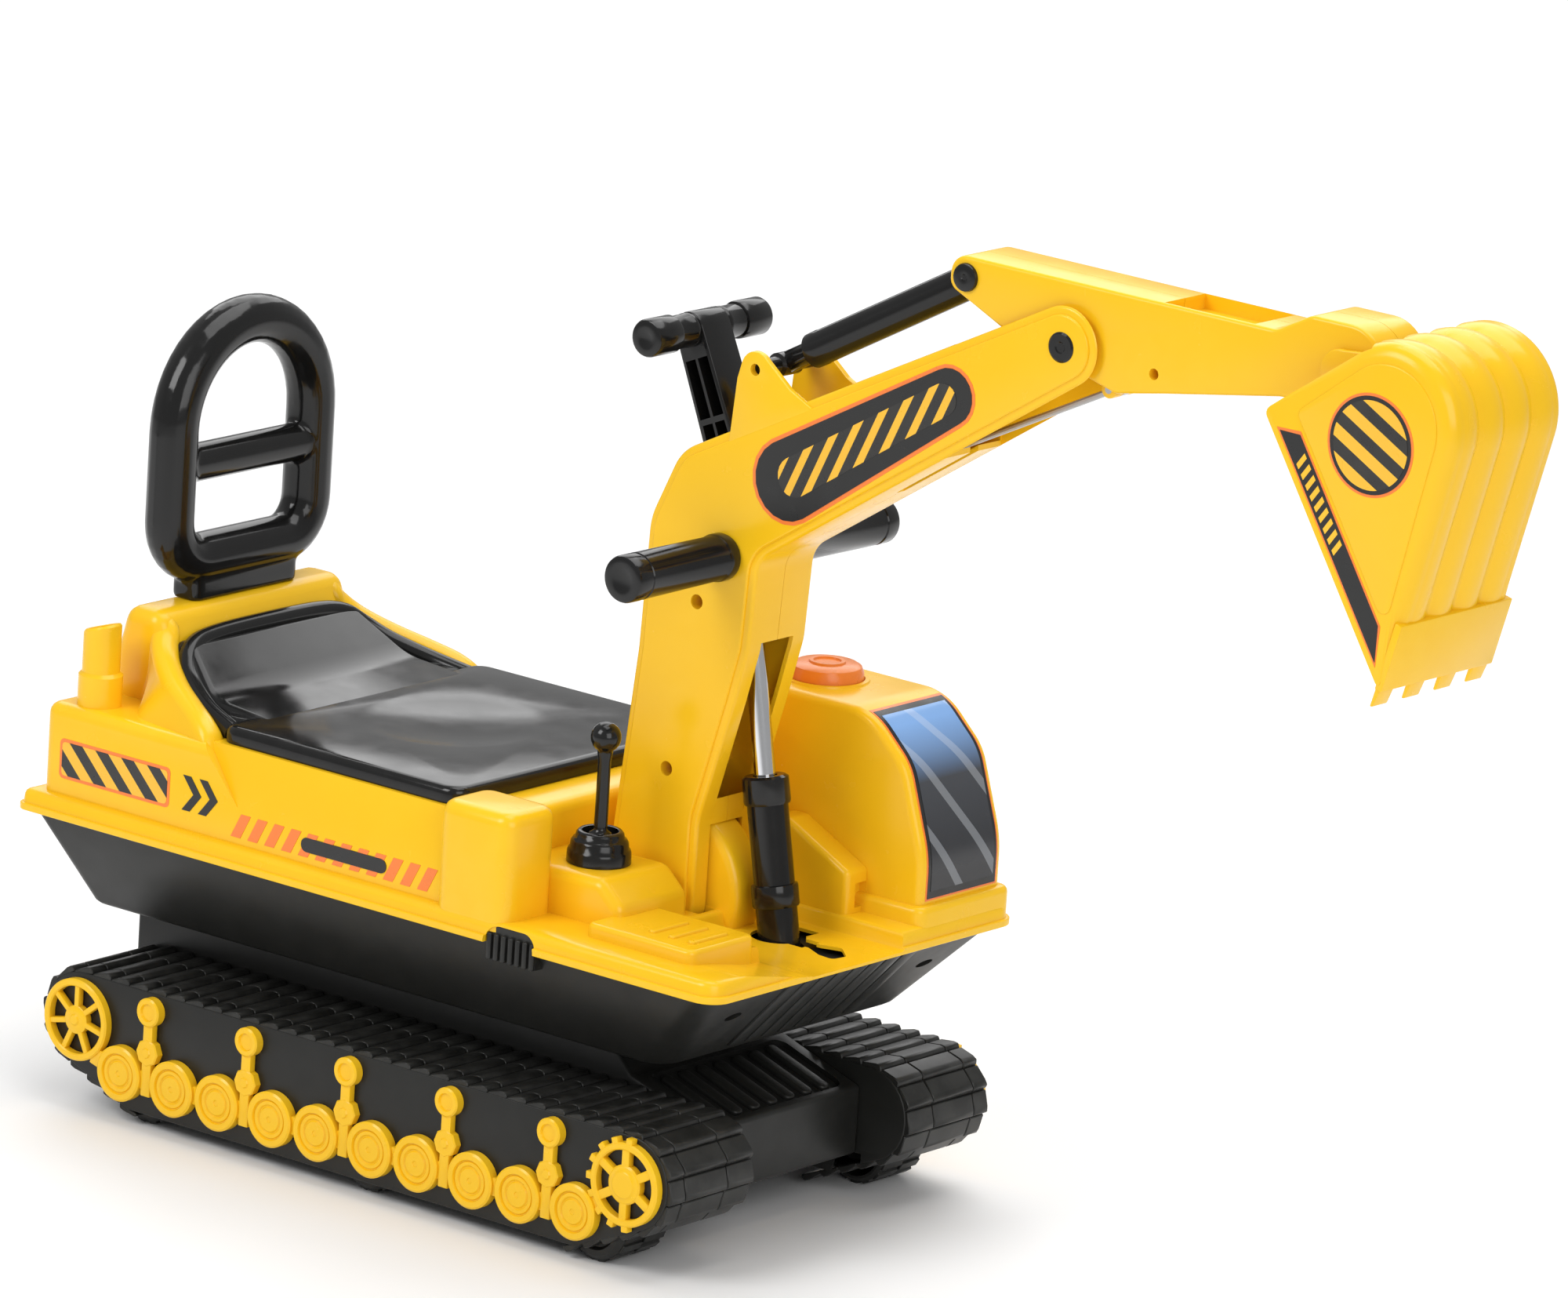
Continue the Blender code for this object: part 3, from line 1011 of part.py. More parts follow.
lever_axis = joint("lever_axis", in_plane(LEVER_PIN), BOOM)
lever_end = LEVER_PIN + CRANK
lever = add("t_lever", plate([tapered((T_BAR, LEVER_PIN, lever_end), LEVER_WIDTHS)], -LEVER_HALF, LEVER_HALF),
            lever_axis, BLACK)
cut(lever, cross_bar(T_BAR, T_BAR_RADIUS + TOUCH_GAP, 2 * LEVER_HALF, 20),
    cross_bar(LEVER_PIN, SMALL_PIN_RADIUS + PIN_GAP, 2 * LEVER_HALF, 12),
    cross_bar(lever_end, SMALL_PIN_RADIUS + TOUCH_GAP, 2 * LEVER_HALF, 12),
    plate([tapered((lever_end + CRANK, lever_end, lever_end - CRANK * 0.45), (0.02, 0.02, 0.02))],
          -CRANK_GAP, CRANK_GAP))
cap_start = T_BAR_HALF - T_BAR_CAP
turned("t_bar", [(0.0, T_BAR_HALF), (T_BAR_CAP_RADIUS * 0.75, T_BAR_HALF),
                 (T_BAR_CAP_RADIUS, T_BAR_HALF - T_BAR_CAP_RADIUS * 0.25), (T_BAR_CAP_RADIUS, cap_start),
                 (T_BAR_RADIUS, cap_start), (T_BAR_RADIUS, -cap_start), (T_BAR_CAP_RADIUS, -cap_start),
                 (T_BAR_CAP_RADIUS, T_BAR_CAP_RADIUS * 0.25 - T_BAR_HALF),
                 (T_BAR_CAP_RADIUS * 0.75, -T_BAR_HALF), (0.0, -T_BAR_HALF)],
       in_plane(T_BAR), lever_axis, BLACK, (0.0, 1.0, 0.0), steps=20)
rod_pin_profile = [(0.0, LEVER_HALF), (SMALL_PIN_RADIUS, LEVER_HALF), (SMALL_PIN_RADIUS, -LEVER_HALF),
                   (0.0, -LEVER_HALF)]
turned("push_rod_pin_rear", rod_pin_profile, in_plane(lever_end), lever_axis, STEEL, (0.0, 1.0, 0.0),
       steps=12)

# Stick halves: hollow arm pivoted in the boom's fork, with an open pocket in its top
stick_corners = [(STICK_END_RADIUS + BUCKET_PIN.x, BUCKET_PIN.y + STICK_END_RADIUS, STICK_END_RADIUS * 0.95),
                 (0.712, BUCKET_PIN.y + STICK_END_RADIUS, 0.014), (0.682, 0.765, 0.020),
                 (LINK_HEAD.x - STICK_TAIL_RADIUS, 0.7665, 0.0145),
                 (LINK_HEAD.x - STICK_TAIL_RADIUS, 0.742, 0.010),
                 (0.440, 0.720, 0.020), (0.545, 0.692, 0.010), (0.590, 0.7005, 0.05),
                 (0.690, 0.718, 0.03), (BUCKET_PIN.x + STICK_END_RADIUS, BUCKET_PIN.y - STICK_END_RADIUS,
                                        STICK_END_RADIUS * 0.95)]
stick_outline = filleted(stick_corners, 4)
crank_end = ELBOW_PIN + CRANK
lug_outline = [tuple(crank_end + Vector((-0.006, 0.014))), *arc(crank_end, 0.0065, 180, 360, 6),
               tuple(crank_end + Vector((0.0065, 0.014)))]
for side, name in ((-1, "right"), (1, "left")):
    def across(low, high):
        """Y range of a shape on this side of the stick."""
        return tuple(sorted((side * low, side * high)))

    half = add(f"stick_{name}", plate([stick_outline], *across(seam, STICK_HALF)), STICK, YELLOW)
    cut(half, plate([inset(stick_outline, STICK_WALL)], *across(-seam, STICK_HALF - STICK_WALL)))
    join(half, plate([lug_outline], *across(CRANK_GAP, LEVER_HALF)))
    tail_slot = across(-seam, LINK_SLEEVE_RADIUS + PIN_GAP * 5)
    cut(half, box(POCKET_X, across(-seam, STICK_HALF - STICK_WALL - PIN_GAP), (0.74, 0.80)),
        box((LINK_HEAD.x - 0.04, LINK_HEAD.x + 0.024), tail_slot, (0.70, 0.78)),
        box((crank_end.x - 0.022, crank_end.x + 0.010), across(-seam, CRANK_GAP), (0.66, 0.71)),
        cross_bar(ELBOW_PIN, ELBOW_PIN_RADIUS + PIN_GAP, BOOM_HALF, 16),
        cross_bar(LINK_HEAD, SMALL_PIN_RADIUS + TOUCH_GAP, BOOM_HALF, 12),
        cross_bar(crank_end, SMALL_PIN_RADIUS + TOUCH_GAP, BOOM_HALF, 12),
        cross_bar(BUCKET_PIN, LIFT_PIN_RADIUS + PIN_GAP, BOOM_HALF, 16))
pin("link_pin", LINK_HEAD, SMALL_PIN_RADIUS, STICK_HALF + TOUCH_GAP, STICK, 0.0065, 0.004)
turned("push_rod_pin_front", rod_pin_profile, in_plane(crank_end), STICK, STEEL, (0.0, 1.0, 0.0), steps=12)

# Push rod: steel wire with an eye on each end, from the lever's crank to the stick's crank
rod_axis = joint("push_rod_axis", in_plane(crank_end), STICK)
eye_half = CRANK_GAP - PIN_GAP
rod = add("push_rod", bar(in_plane(lever_end), in_plane(crank_end), PUSH_ROD_RADIUS, 10), rod_axis, STEEL)
join(rod, cross_bar(lever_end, PUSH_ROD_EYE, eye_half, 14), cross_bar(crank_end, PUSH_ROD_EYE, eye_half, 14))
cut(rod, cross_bar(lever_end, SMALL_PIN_RADIUS + PIN_GAP, BOOM_HALF, 12),
    cross_bar(crank_end, SMALL_PIN_RADIUS + PIN_GAP, BOOM_HALF, 12))

# Link cylinder above the boom: sleeve hung on the stick's tail, rod that runs to the ears
link_line = LINK_FOOT - LINK_HEAD
link_length = link_line.length
link_way = in_plane(link_line.normalized())
link_axis = joint("link_axis", in_plane(LINK_HEAD), STICK)


def on_link(distance):
    return Vector(in_plane(LINK_HEAD)) + Vector(link_way) * distance


sleeve_start, sleeve_end = LINK_SLEEVE_ENDS
sleeve = add("link_sleeve", bar(on_link(0.0), on_link(sleeve_end), LINK_SLEEVE_RADIUS, 24), link_axis, BLACK)
cut(sleeve, bar(on_link(LINK_ROD_START - 0.03), on_link(sleeve_end * 1.1), LINK_BORE, 20),
    cross_bar(LINK_HEAD, SMALL_PIN_RADIUS + PIN_GAP, BOOM_HALF, 12))
link_slide = joint("link_slide", in_plane(LINK_FOOT), link_axis)
link_core = bar(on_link(LINK_ROD_START), on_link(link_length), LINK_ROD_RADIUS, 16)
link_rod = add("link_rod", link_core, link_slide, BLACK)
trunnion = BOOM_HALF - BOOM_WALL * 1.6 - 0.001
join(link_rod, cross_bar(LINK_FOOT, LINK_ROD_RADIUS * 0.8, trunnion, 14))

# Bucket: open scoop with side plates, lugs for its pin and four teeth
bucket_axis = joint("bucket_axis", in_plane(BUCKET_PIN), STICK)
crown = [(*point, 0.0) for point in arc(BUCKET_CROWN, BUCKET_CROWN_RADIUS, *BUCKET_CROWN_ARC, 12)]
bucket_outline = filleted([(*BUCKET_RIM_TOP, 0.012), (*BUCKET_RIM_LOW, 0.003), (*BUCKET_HEEL, 0.02),
                           *crown], 6)
bucket = add("bucket", plate([bucket_outline], -BUCKET_HALF, BUCKET_HALF), bucket_axis, YELLOW)
mouth_shift = Vector((-0.06, -0.03))
roof_arc = (BUCKET_CROWN_ARC[0], BUCKET_OPEN_ANGLE)
roof = [(*point, 0.0) for point in arc(BUCKET_CROWN, BUCKET_CROWN_RADIUS, *roof_arc, 10)]
opening = Vector(roof[-1][:2]) + Vector((-0.005, 0.03))
scoop = inset(filleted([(*BUCKET_RIM_LOW, 0.003), (*BUCKET_HEEL, 0.02), *roof, (*opening, 0.0),
                        (*(BUCKET_RIM_TOP + mouth_shift), 0.0), (*(BUCKET_RIM_LOW + mouth_shift), 0.0)], 6),
              BUCKET_WALL)
cut(bucket, plate([scoop], BUCKET_WALL - BUCKET_HALF, BUCKET_HALF - BUCKET_WALL))
lug_plate = arc(BUCKET_PIN, BUCKET_LUG_RADIUS, 60, 300, 12)
lug_plate += arc(BUCKET_CROWN, BUCKET_CROWN_RADIUS - BUCKET_WALL / 2, -20, 70, 6)
lug_out = BUCKET_LUG + BUCKET_LUG_WALL
lugs = [plate([lug_plate], *span) for span in ((-lug_out, -BUCKET_LUG), (BUCKET_LUG, lug_out))]
tooth_pitch = 2 * (BUCKET_HALF - 0.011) / (BUCKET_TEETH - 1)
edge = (BUCKET_RIM_LOW - BUCKET_HEEL).normalized()
tooth_root = BUCKET_RIM_LOW - edge * 2 * BUCKET_TOOTH.x
tooth_tip = BUCKET_RIM_LOW + edge * BUCKET_TOOTH.y
tooth = [tuple(tooth_root + Vector((0.001, 0.0))), tuple(tooth_root - Vector((BUCKET_WALL * 0.9, 0.0))),
         tuple(tooth_tip - Vector((BUCKET_TOOTH.x / 2, 0.0))), tuple(tooth_tip)]
teeth = []
for i in range(BUCKET_TEETH):
    y = (i - (BUCKET_TEETH - 1) / 2) * tooth_pitch
    teeth.append(plate([tooth], y - 0.0095, y + 0.0095))
join(bucket, *lugs, *teeth)
cut(bucket, cross_bar(BUCKET_PIN, LIFT_PIN_RADIUS + PIN_GAP, BUCKET_HALF / 1.5, 16))
pin("bucket_pin", BUCKET_PIN, LIFT_PIN_RADIUS, BUCKET_LUG + BUCKET_LUG_WALL + TOUCH_GAP, STICK)

# The middle of the footprint becomes the origin
for group in (parts, cutters):
    drawing_board.children.link(group)
bpy.context.view_layer.update()
depsgraph = bpy.context.evaluated_depsgraph_get()
reach = []
for thing in parts.objects:
    if thing.type == "MESH":
        corners = thing.evaluated_get(depsgraph).bound_box
        reach += [(thing.matrix_world @ Vector(corner)).x for corner in corners]
MACHINE.location.x = -(min(reach) + max(reach)) / 2
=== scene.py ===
import json
from math import atan2, cos, pi, radians, sin, tau

import bmesh
import bpy
from mathutils import Matrix, Vector
from mathutils.geometry import interpolate_bezier


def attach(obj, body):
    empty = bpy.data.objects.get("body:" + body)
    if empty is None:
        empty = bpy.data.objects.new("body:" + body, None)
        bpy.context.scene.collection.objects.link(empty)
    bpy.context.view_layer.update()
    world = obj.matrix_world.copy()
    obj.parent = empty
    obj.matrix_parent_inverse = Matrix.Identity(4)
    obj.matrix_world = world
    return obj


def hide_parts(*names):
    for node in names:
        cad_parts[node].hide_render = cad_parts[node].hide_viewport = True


# Ride-on toy excavator. Metres, +X towards the bucket, +Y to its left, +Z up. Shapes are drawn with
# X = 0 on the swivel axis, and each piece is slid to the frame's own origin when it is finished.
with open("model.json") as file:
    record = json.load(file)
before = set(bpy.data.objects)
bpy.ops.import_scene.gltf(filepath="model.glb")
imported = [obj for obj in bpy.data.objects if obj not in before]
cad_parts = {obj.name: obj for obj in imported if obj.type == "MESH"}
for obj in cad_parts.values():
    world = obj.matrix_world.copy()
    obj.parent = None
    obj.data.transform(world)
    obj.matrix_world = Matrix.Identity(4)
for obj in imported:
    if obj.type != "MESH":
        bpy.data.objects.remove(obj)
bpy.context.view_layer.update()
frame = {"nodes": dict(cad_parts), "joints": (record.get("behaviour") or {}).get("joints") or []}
scene = bpy.context.scene
SWIVEL_X = next(j["pos_m"][0] for j in frame["joints"] if j["name"] == "swivel")


# Studio: a wide pale floor, a soft white surround and four large soft lamps.
# The camera stands where the photograph was taken from, far off with a long lens and a little rolled.
def fill(tree, inputs, values):
    """Sockets given their values, or links from the outputs of other nodes."""
    for name, value in values.items():
        if isinstance(value, bpy.types.NodeSocket):
            tree.links.new(value, inputs[name])
        else:
            inputs[name].default_value = value


def add(tree, kind, sockets=None, **settings):
    """Node in a tree, with its settings and its sockets' values or links."""
    made = tree.nodes.new(kind)
    for name, value in settings.items():
        setattr(made, name, value)
    fill(tree, made.inputs, sockets or {})
    return made


def places(tree):
    """Place coordinates of a piece's surface."""
    return add(tree, "ShaderNodeTexCoord").outputs["Object"]


def noise(tree, place, scale, detail):
    """Cloudy noise over a surface."""
    return add(tree, "ShaderNodeTexNoise", {"Vector": place, "Scale": scale,
                                            "Detail": detail}).outputs["Fac"]


def blended(tree, share, first, second):
    """Colour between two others by a mask."""
    return add(tree, "ShaderNodeMix", {0: share, 6: first, 7: second}, data_type="RGBA").outputs[2]


def new_material(name):
    """Material with its node tree and the sockets of its shader."""
    made = bpy.data.materials.new(name)
    made.use_nodes = True
    return made, made.node_tree, made.node_tree.nodes["Principled BSDF"].inputs


def placed(name, data):
    """Object put into the scene."""
    thing = bpy.data.objects.new(name, data)
    scene.collection.objects.link(thing)
    return thing


FLOOR_REACH = 20.0
floor_mesh = bpy.data.meshes.new("studio_floor")
floor_corners = [(-1, -1), (1, -1), (1, 1), (-1, 1)]
floor_mesh.from_pydata([(x * FLOOR_REACH, y * FLOOR_REACH, 0.0) for x, y in floor_corners], [],
                       [(0, 1, 2, 3)])
pale_floor, floor_tree, floor_shader = new_material("pale_floor")
floor_grain = noise(floor_tree, places(floor_tree), 3.0, 2.0)
floor_tone = blended(floor_tree, floor_grain, (0.90, 0.90, 0.90, 1.0), (0.94, 0.94, 0.94, 1.0))
fill(floor_tree, floor_shader, {"Base Color": floor_tone, "Roughness": 0.7})
floor_mesh.materials.append(pale_floor)
studio_floor = placed("studio_floor", floor_mesh)

surround = bpy.data.worlds.new("soft_surround")
surround.use_nodes = True
backdrop = surround.node_tree.nodes["Background"].inputs
fill(surround.node_tree, backdrop, {"Color": (1.0, 1.0, 1.0, 1.0), "Strength": 0.42})
scene.world = surround
scene.view_settings.view_transform = "Standard"


def lamp(name, at, aim, size, power):
    """Square soft lamp pointed at a spot."""
    light = bpy.data.lights.new(name, "AREA")
    light.size = size
    light.energy = power
    holder = placed(name, light)
    holder.location = at
    holder.rotation_euler = (Vector(aim) - Vector(at)).to_track_quat("-Z", "Y").to_euler()


MIDDLE = (0.0, 0.0, 0.35)
lamp("key_lamp", (-1.1, -2.6, 2.6), MIDDLE, 1.6, 50.0)
lamp("fill_lamp", (3.0, -1.6, 1.8), MIDDLE, 2.2, 39.0)
lamp("top_lamp", (0.1, 0.6, 3.2), MIDDLE, 2.4, 51.0)
lamp("backdrop_lamp", (-3.2, 4.0, 3.5), (-2.6, 3.3, 0.0), 5.0, 150.0)

CAMERA_AZIMUTH, CAMERA_HEIGHT, CAMERA_ROLL = radians(38.293), radians(14.284), radians(3.67)
CAMERA_TARGET = Vector((0.24004 + SWIVEL_X, 0.0, 0.43618))
CAMERA_DISTANCE = 8.4901
back = Vector((sin(CAMERA_AZIMUTH) * cos(CAMERA_HEIGHT), -cos(CAMERA_AZIMUTH) * cos(CAMERA_HEIGHT),
               sin(CAMERA_HEIGHT)))
across_view = Vector((cos(CAMERA_AZIMUTH), sin(CAMERA_AZIMUTH), 0.0))
up_view = back.cross(across_view)
level = across_view * cos(CAMERA_ROLL) + up_view * sin(CAMERA_ROLL)
rise = up_view * cos(CAMERA_ROLL) - across_view * sin(CAMERA_ROLL)
lens = bpy.data.cameras.new("photo_camera")
lens.sensor_width = 36.0
lens.lens = 265.28
lens.clip_end = 100.0
camera = placed("photo_camera", lens)
camera.matrix_world = Matrix.Translation(CAMERA_TARGET + back * CAMERA_DISTANCE) @ Matrix(
    (level, rise, back)).transposed().to_4x4()
scene.camera = camera


# Tracks: two hollow dark mouldings shaped like a belt round an idler and a sprocket, open below for the
# running wheels. Their shoes are moulded on like lapped tiles, with two slits across every shoe.
def arc(centre, radius, start, end, steps):
    """Points on an arc, angles in degrees."""
    angles = [radians(start + (end - start) * i / steps) for i in range(steps + 1)]
    return [(centre[0] + radius * cos(a), centre[1] + radius * sin(a)) for a in angles]


def closed(work):
    """Plain mesh from a bmesh, its doubles merged and its faces outward."""
    bmesh.ops.remove_doubles(work, verts=work.verts, dist=0.000001)
    bmesh.ops.recalc_face_normals(work, faces=work.faces)
    mesh = bpy.data.meshes.new("shape")
    work.to_mesh(mesh)
    work.free()
    return mesh


def slab(outline, low, high):
    """Solid with a side outline of (x, z) points, from one Y to another."""
    work = bmesh.new()
    near, far = ([work.verts.new((x, y, z)) for x, z in outline] for y in (low, high))
    work.faces.new(near)
    work.faces.new(far)
    for i in range(len(outline)):
        work.faces.new((near[i - 1], near[i], far[i], far[i - 1]))
    return closed(work)


def box(x, y, z):
    """Box from its (low, high) pairs."""
    return slab([(x[0], z[0]), (x[1], z[0]), (x[1], z[1]), (x[0], z[1])], *y)


def joined(meshes):
    """One mesh from several."""
    work = bmesh.new()
    for mesh in meshes:
        work.from_mesh(mesh)
    whole = bpy.data.meshes.new("shape")
    work.to_mesh(whole)
    work.free()
    return whole


def mirrored(mesh):
    """The same shape on the other side of the machine."""
    other = mesh.copy()
    other.transform(Matrix.Diagonal((1.0, -1.0, 1.0, 1.0)))
    other.flip_normals()
    return other


def as_mesh(holder):
    """Plain mesh of a working object as its modifiers leave it, and the object gone."""
    mesh = bpy.data.meshes.new_from_object(holder.evaluated_get(bpy.context.evaluated_depsgraph_get()))
    holder.modifiers.clear()
    bpy.data.objects.remove(holder)
    return mesh


def worked(mesh, *stages):
    """Mesh after a row of modifiers, each given as (kind, settings)."""
    holder = placed("work", mesh)
    for kind, settings in stages:
        modifier = holder.modifiers.new(kind.lower(), kind)
        for name, value in settings.items():
            setattr(modifier, name, value)
    return as_mesh(holder)


def less(mesh, *cuts, solver="EXACT"):
    """Mesh with other solids cut out of it."""
    holders = [placed("cut", cut) for cut in cuts]
    made = worked(mesh, *[("BOOLEAN", {"operation": "DIFFERENCE", "object": holder, "solver": solver})
                          for holder in holders])
    for holder in holders:
        bpy.data.objects.remove(holder)
    return made


def bevelled(mesh, width, segments=3, angle=35):
    """Mesh with its sharp edges rounded."""
    return worked(mesh, ("BEVEL", {"width": width, "segments": segments, "limit_method": "ANGLE",
                                   "angle_limit": radians(angle)}))


def piece(name, mesh, body, finish, *nodes, crease=35, slotted=True):
    """Finished piece in the part's frame, riding on its body and standing for its CAD nodes."""
    mesh.transform(Matrix.Translation((SWIVEL_X, 0.0, 0.0)))
    mesh.materials.clear()
    mesh.materials.append(finish)
    mesh.polygons.foreach_set("material_index", [0] * len(mesh.polygons))
    mesh.shade_smooth()
    mesh.set_sharp_from_angle(angle=radians(crease))
    thing = placed(name, mesh)
    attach(thing, body)
    if nodes:
        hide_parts(*nodes)


def both_sides(name, left, body, finish, node):
    """Pair of pieces, the right one a mirror of the left, with the side put into each name."""
    for side, mesh in (("right", mirrored(left)), ("left", left)):
        piece(name.format(side), mesh, body, finish, node.format(side))


def grown(mesh, tree, values):
    """Plain mesh of a node tree run on a mesh, its named inputs set by their identifiers."""
    holder = placed("grown", mesh)
    modifier = holder.modifiers.new("grow", "NODES")
    modifier.node_group = tree
    for item in tree.interface.items_tree:
        if item.item_type == "SOCKET" and item.in_out == "INPUT" and item.name in values:
            modifier[item.identifier] = values[item.name]
    return as_mesh(holder)


def growing_tree(name, inputs):
    """Empty geometry tree with named inputs, and its two end nodes."""
    tree = bpy.data.node_groups.new(name, "GeometryNodeTree")
    tree.interface.new_socket("Geometry", in_out="INPUT", socket_type="NodeSocketGeometry")
    for label, kind in inputs:
        tree.interface.new_socket(label, in_out="INPUT", socket_type=kind)
    tree.interface.new_socket("Geometry", in_out="OUTPUT", socket_type="NodeSocketGeometry")
    return tree, tree.nodes.new("NodeGroupInput").outputs, tree.nodes.new("NodeGroupOutput")


def planted(tree, way_in, way_out, points, unit, turn):
    """Closing nodes of a tree: a unit on every point, made real and painted."""
    planting = {"Points": points, "Instance": unit, "Rotation": turn}
    plant = add(tree, "GeometryNodeInstanceOnPoints", planting)
    real = add(tree, "GeometryNodeRealizeInstances", {"Geometry": plant.outputs["Instances"]})
    paint = add(tree, "GeometryNodeSetMaterial", {"Geometry": real.outputs["Geometry"],
                                                  "Material": way_in["Finish"]})
    tree.links.new(paint.outputs["Geometry"], way_out.inputs["Geometry"])


def maths(tree, operation, *values):
    """Result of one operation on some values."""
    return add(tree, "ShaderNodeMath", dict(enumerate(values)), operation=operation).outputs[0]


belt_tree, belt_in, belt_out = growing_tree("shoes_round_belt", [
    ("Shoe", "NodeSocketObject"), ("Count", "NodeSocketInt"), ("Finish", "NodeSocketMaterial")])
belt_curve = add(belt_tree, "GeometryNodeMeshToCurve", {"Mesh": belt_in["Geometry"]})
belt_steps = add(belt_tree, "GeometryNodeResampleCurve", {"Curve": belt_curve.outputs["Curve"],
                                                          "Count": belt_in["Count"]}, mode="COUNT")
belt_way = add(belt_tree, "ShaderNodeSeparateXYZ", {
    "Vector": add(belt_tree, "GeometryNodeInputTangent").outputs["Tangent"]}).outputs
belt_angle = maths(belt_tree, "ARCTAN2", maths(belt_tree, "MULTIPLY", belt_way["Z"], -1.0), belt_way["X"])
belt_turn = add(belt_tree, "ShaderNodeCombineXYZ", {"Y": belt_angle}).outputs["Vector"]
belt_shoe = add(belt_tree, "GeometryNodeObjectInfo", {"Object": belt_in["Shoe"]}).outputs["Geometry"]
planted(belt_tree, belt_in, belt_out, belt_steps.outputs["Curve"], belt_shoe, belt_turn)


def shader_group(name, inputs, outputs):
    """Empty shader group with named sockets, and its two end nodes."""
    group = bpy.data.node_groups.new(name, "ShaderNodeTree")
    for label, kind, value in inputs:
        group.interface.new_socket(label, in_out="INPUT", socket_type=kind).default_value = value
    for label, kind in outputs:
        group.interface.new_socket(label, in_out="OUTPUT", socket_type=kind)
    return group, group.nodes.new("NodeGroupInput").outputs, group.nodes.new("NodeGroupOutput").inputs


def spread(tree, value, from_low, from_high, low, high):
    """A value's range stretched onto another."""
    return add(tree, "ShaderNodeMapRange", {"Value": value, "From Min": from_low, "From Max": from_high,
                                            "To Min": low, "To Max": high}).outputs["Result"]


def product(tree, *values):
    """Values multiplied together."""
    total = values[0]
    for value in values[1:]:
        total = maths(tree, "MULTIPLY", total, value)
    return total


def bumped(tree, strength, distance, height):
    """Surface normals of a small relief."""
    return add(tree, "ShaderNodeBump", {"Strength": strength, "Distance": distance,
                                        "Height": height}).outputs["Normal"]


moulded_skin, skin_in, skin_out = shader_group(
    "moulded_skin",
    [("Colour", "NodeSocketColor", (1.0, 1.0, 1.0, 1.0)), ("Shade", "NodeSocketFloat", 0.05),
     ("Grain", "NodeSocketFloat", 700.0), ("Relief", "NodeSocketFloat", 0.1),
     ("Gloss", "NodeSocketFloat", 0.3)],
    [("Colour", "NodeSocketColor"), ("Roughness", "NodeSocketFloat"), ("Normal", "NodeSocketVector")])
skin_place = places(moulded_skin)
flow_marks = noise(moulded_skin, skin_place, 6.0, 3.0)
pebbles = noise(moulded_skin, skin_place, skin_in["Grain"], 2.0)
smears = noise(moulded_skin, skin_place, 38.0, 4.0)
dim = maths(moulded_skin, "SUBTRACT", 1.0, skin_in["Shade"])
bright = maths(moulded_skin, "ADD", 1.0, skin_in["Shade"])
tone = spread(moulded_skin, flow_marks, 0.3, 0.7, dim, bright)
toned = add(moulded_skin, "ShaderNodeVectorMath", {0: skin_in["Colour"], "Scale": tone}, operation="SCALE")
duller = spread(moulded_skin, smears, 0.35, 0.7, -0.02, 0.05)
fill(moulded_skin, skin_out, {"Colour": toned.outputs[0],
                              "Roughness": maths(moulded_skin, "ADD", skin_in["Gloss"], duller),
                              "Normal": bumped(moulded_skin, skin_in["Relief"], 0.0004, pebbles)})

rubbed_edges, rub_in, rub_out = shader_group("rubbed_edges", [("Amount", "NodeSocketFloat", 0.3)],
                                             [("Mask", "NodeSocketFloat")])
rub_noise = noise(rubbed_edges, places(rubbed_edges), 55.0, 5.0)
rub_edge = add(rubbed_edges, "ShaderNodeNewGeometry").outputs["Pointiness"]
rub_mask = product(rubbed_edges, spread(rubbed_edges, rub_edge, 0.515, 0.60, 0.0, 1.0),
                   spread(rubbed_edges, rub_noise, 0.42, 0.62, 0.15, 1.0), rub_in["Amount"])
fill(rubbed_edges, rub_out, {"Mask": rub_mask})

settled_dust, dust_in, dust_out = shader_group("settled_dust", [("Amount", "NodeSocketFloat", 0.1)],
                                               [("Mask", "NodeSocketFloat")])
dust_noise = noise(settled_dust, places(settled_dust), 24.0, 6.0)
dust_up = add(settled_dust, "ShaderNodeSeparateXYZ", {
    "Vector": add(settled_dust, "ShaderNodeNewGeometry").outputs["Normal"]}).outputs["Z"]
dust_mask = product(settled_dust, spread(settled_dust, dust_up, 0.5, 1.0, 0.0, 1.0),
                    spread(settled_dust, dust_noise, 0.4, 0.7, 0.0, 1.0), dust_in["Amount"])
fill(settled_dust, dust_out, {"Mask": dust_mask})
DUST_COLOUR = (0.42, 0.39, 0.34, 1.0)


def plastic(name, colour, rubbed_colour, gloss, shade=0.05, grain=700.0, relief=0.1, rubbed=0.3, dusty=0.1,
            shine=0.5):
    """Moulded plastic with its skin, rubbed edges and a little dust."""
    made, tree, shader = new_material(name)
    skin = add(tree, "ShaderNodeGroup", {"Colour": (*colour, 1.0), "Shade": shade, "Grain": grain,
                                         "Relief": relief, "Gloss": gloss}, node_tree=moulded_skin).outputs
    edges = add(tree, "ShaderNodeGroup", {"Amount": rubbed}, node_tree=rubbed_edges).outputs["Mask"]
    dust = add(tree, "ShaderNodeGroup", {"Amount": dusty}, node_tree=settled_dust).outputs["Mask"]
    worn = blended(tree, edges, skin["Colour"], (*rubbed_colour, 1.0))
    fill(tree, shader, {"Base Color": blended(tree, dust, worn, DUST_COLOUR),
                        "Roughness": skin["Roughness"], "Normal": skin["Normal"],
                        "Specular IOR Level": shine})
    return made


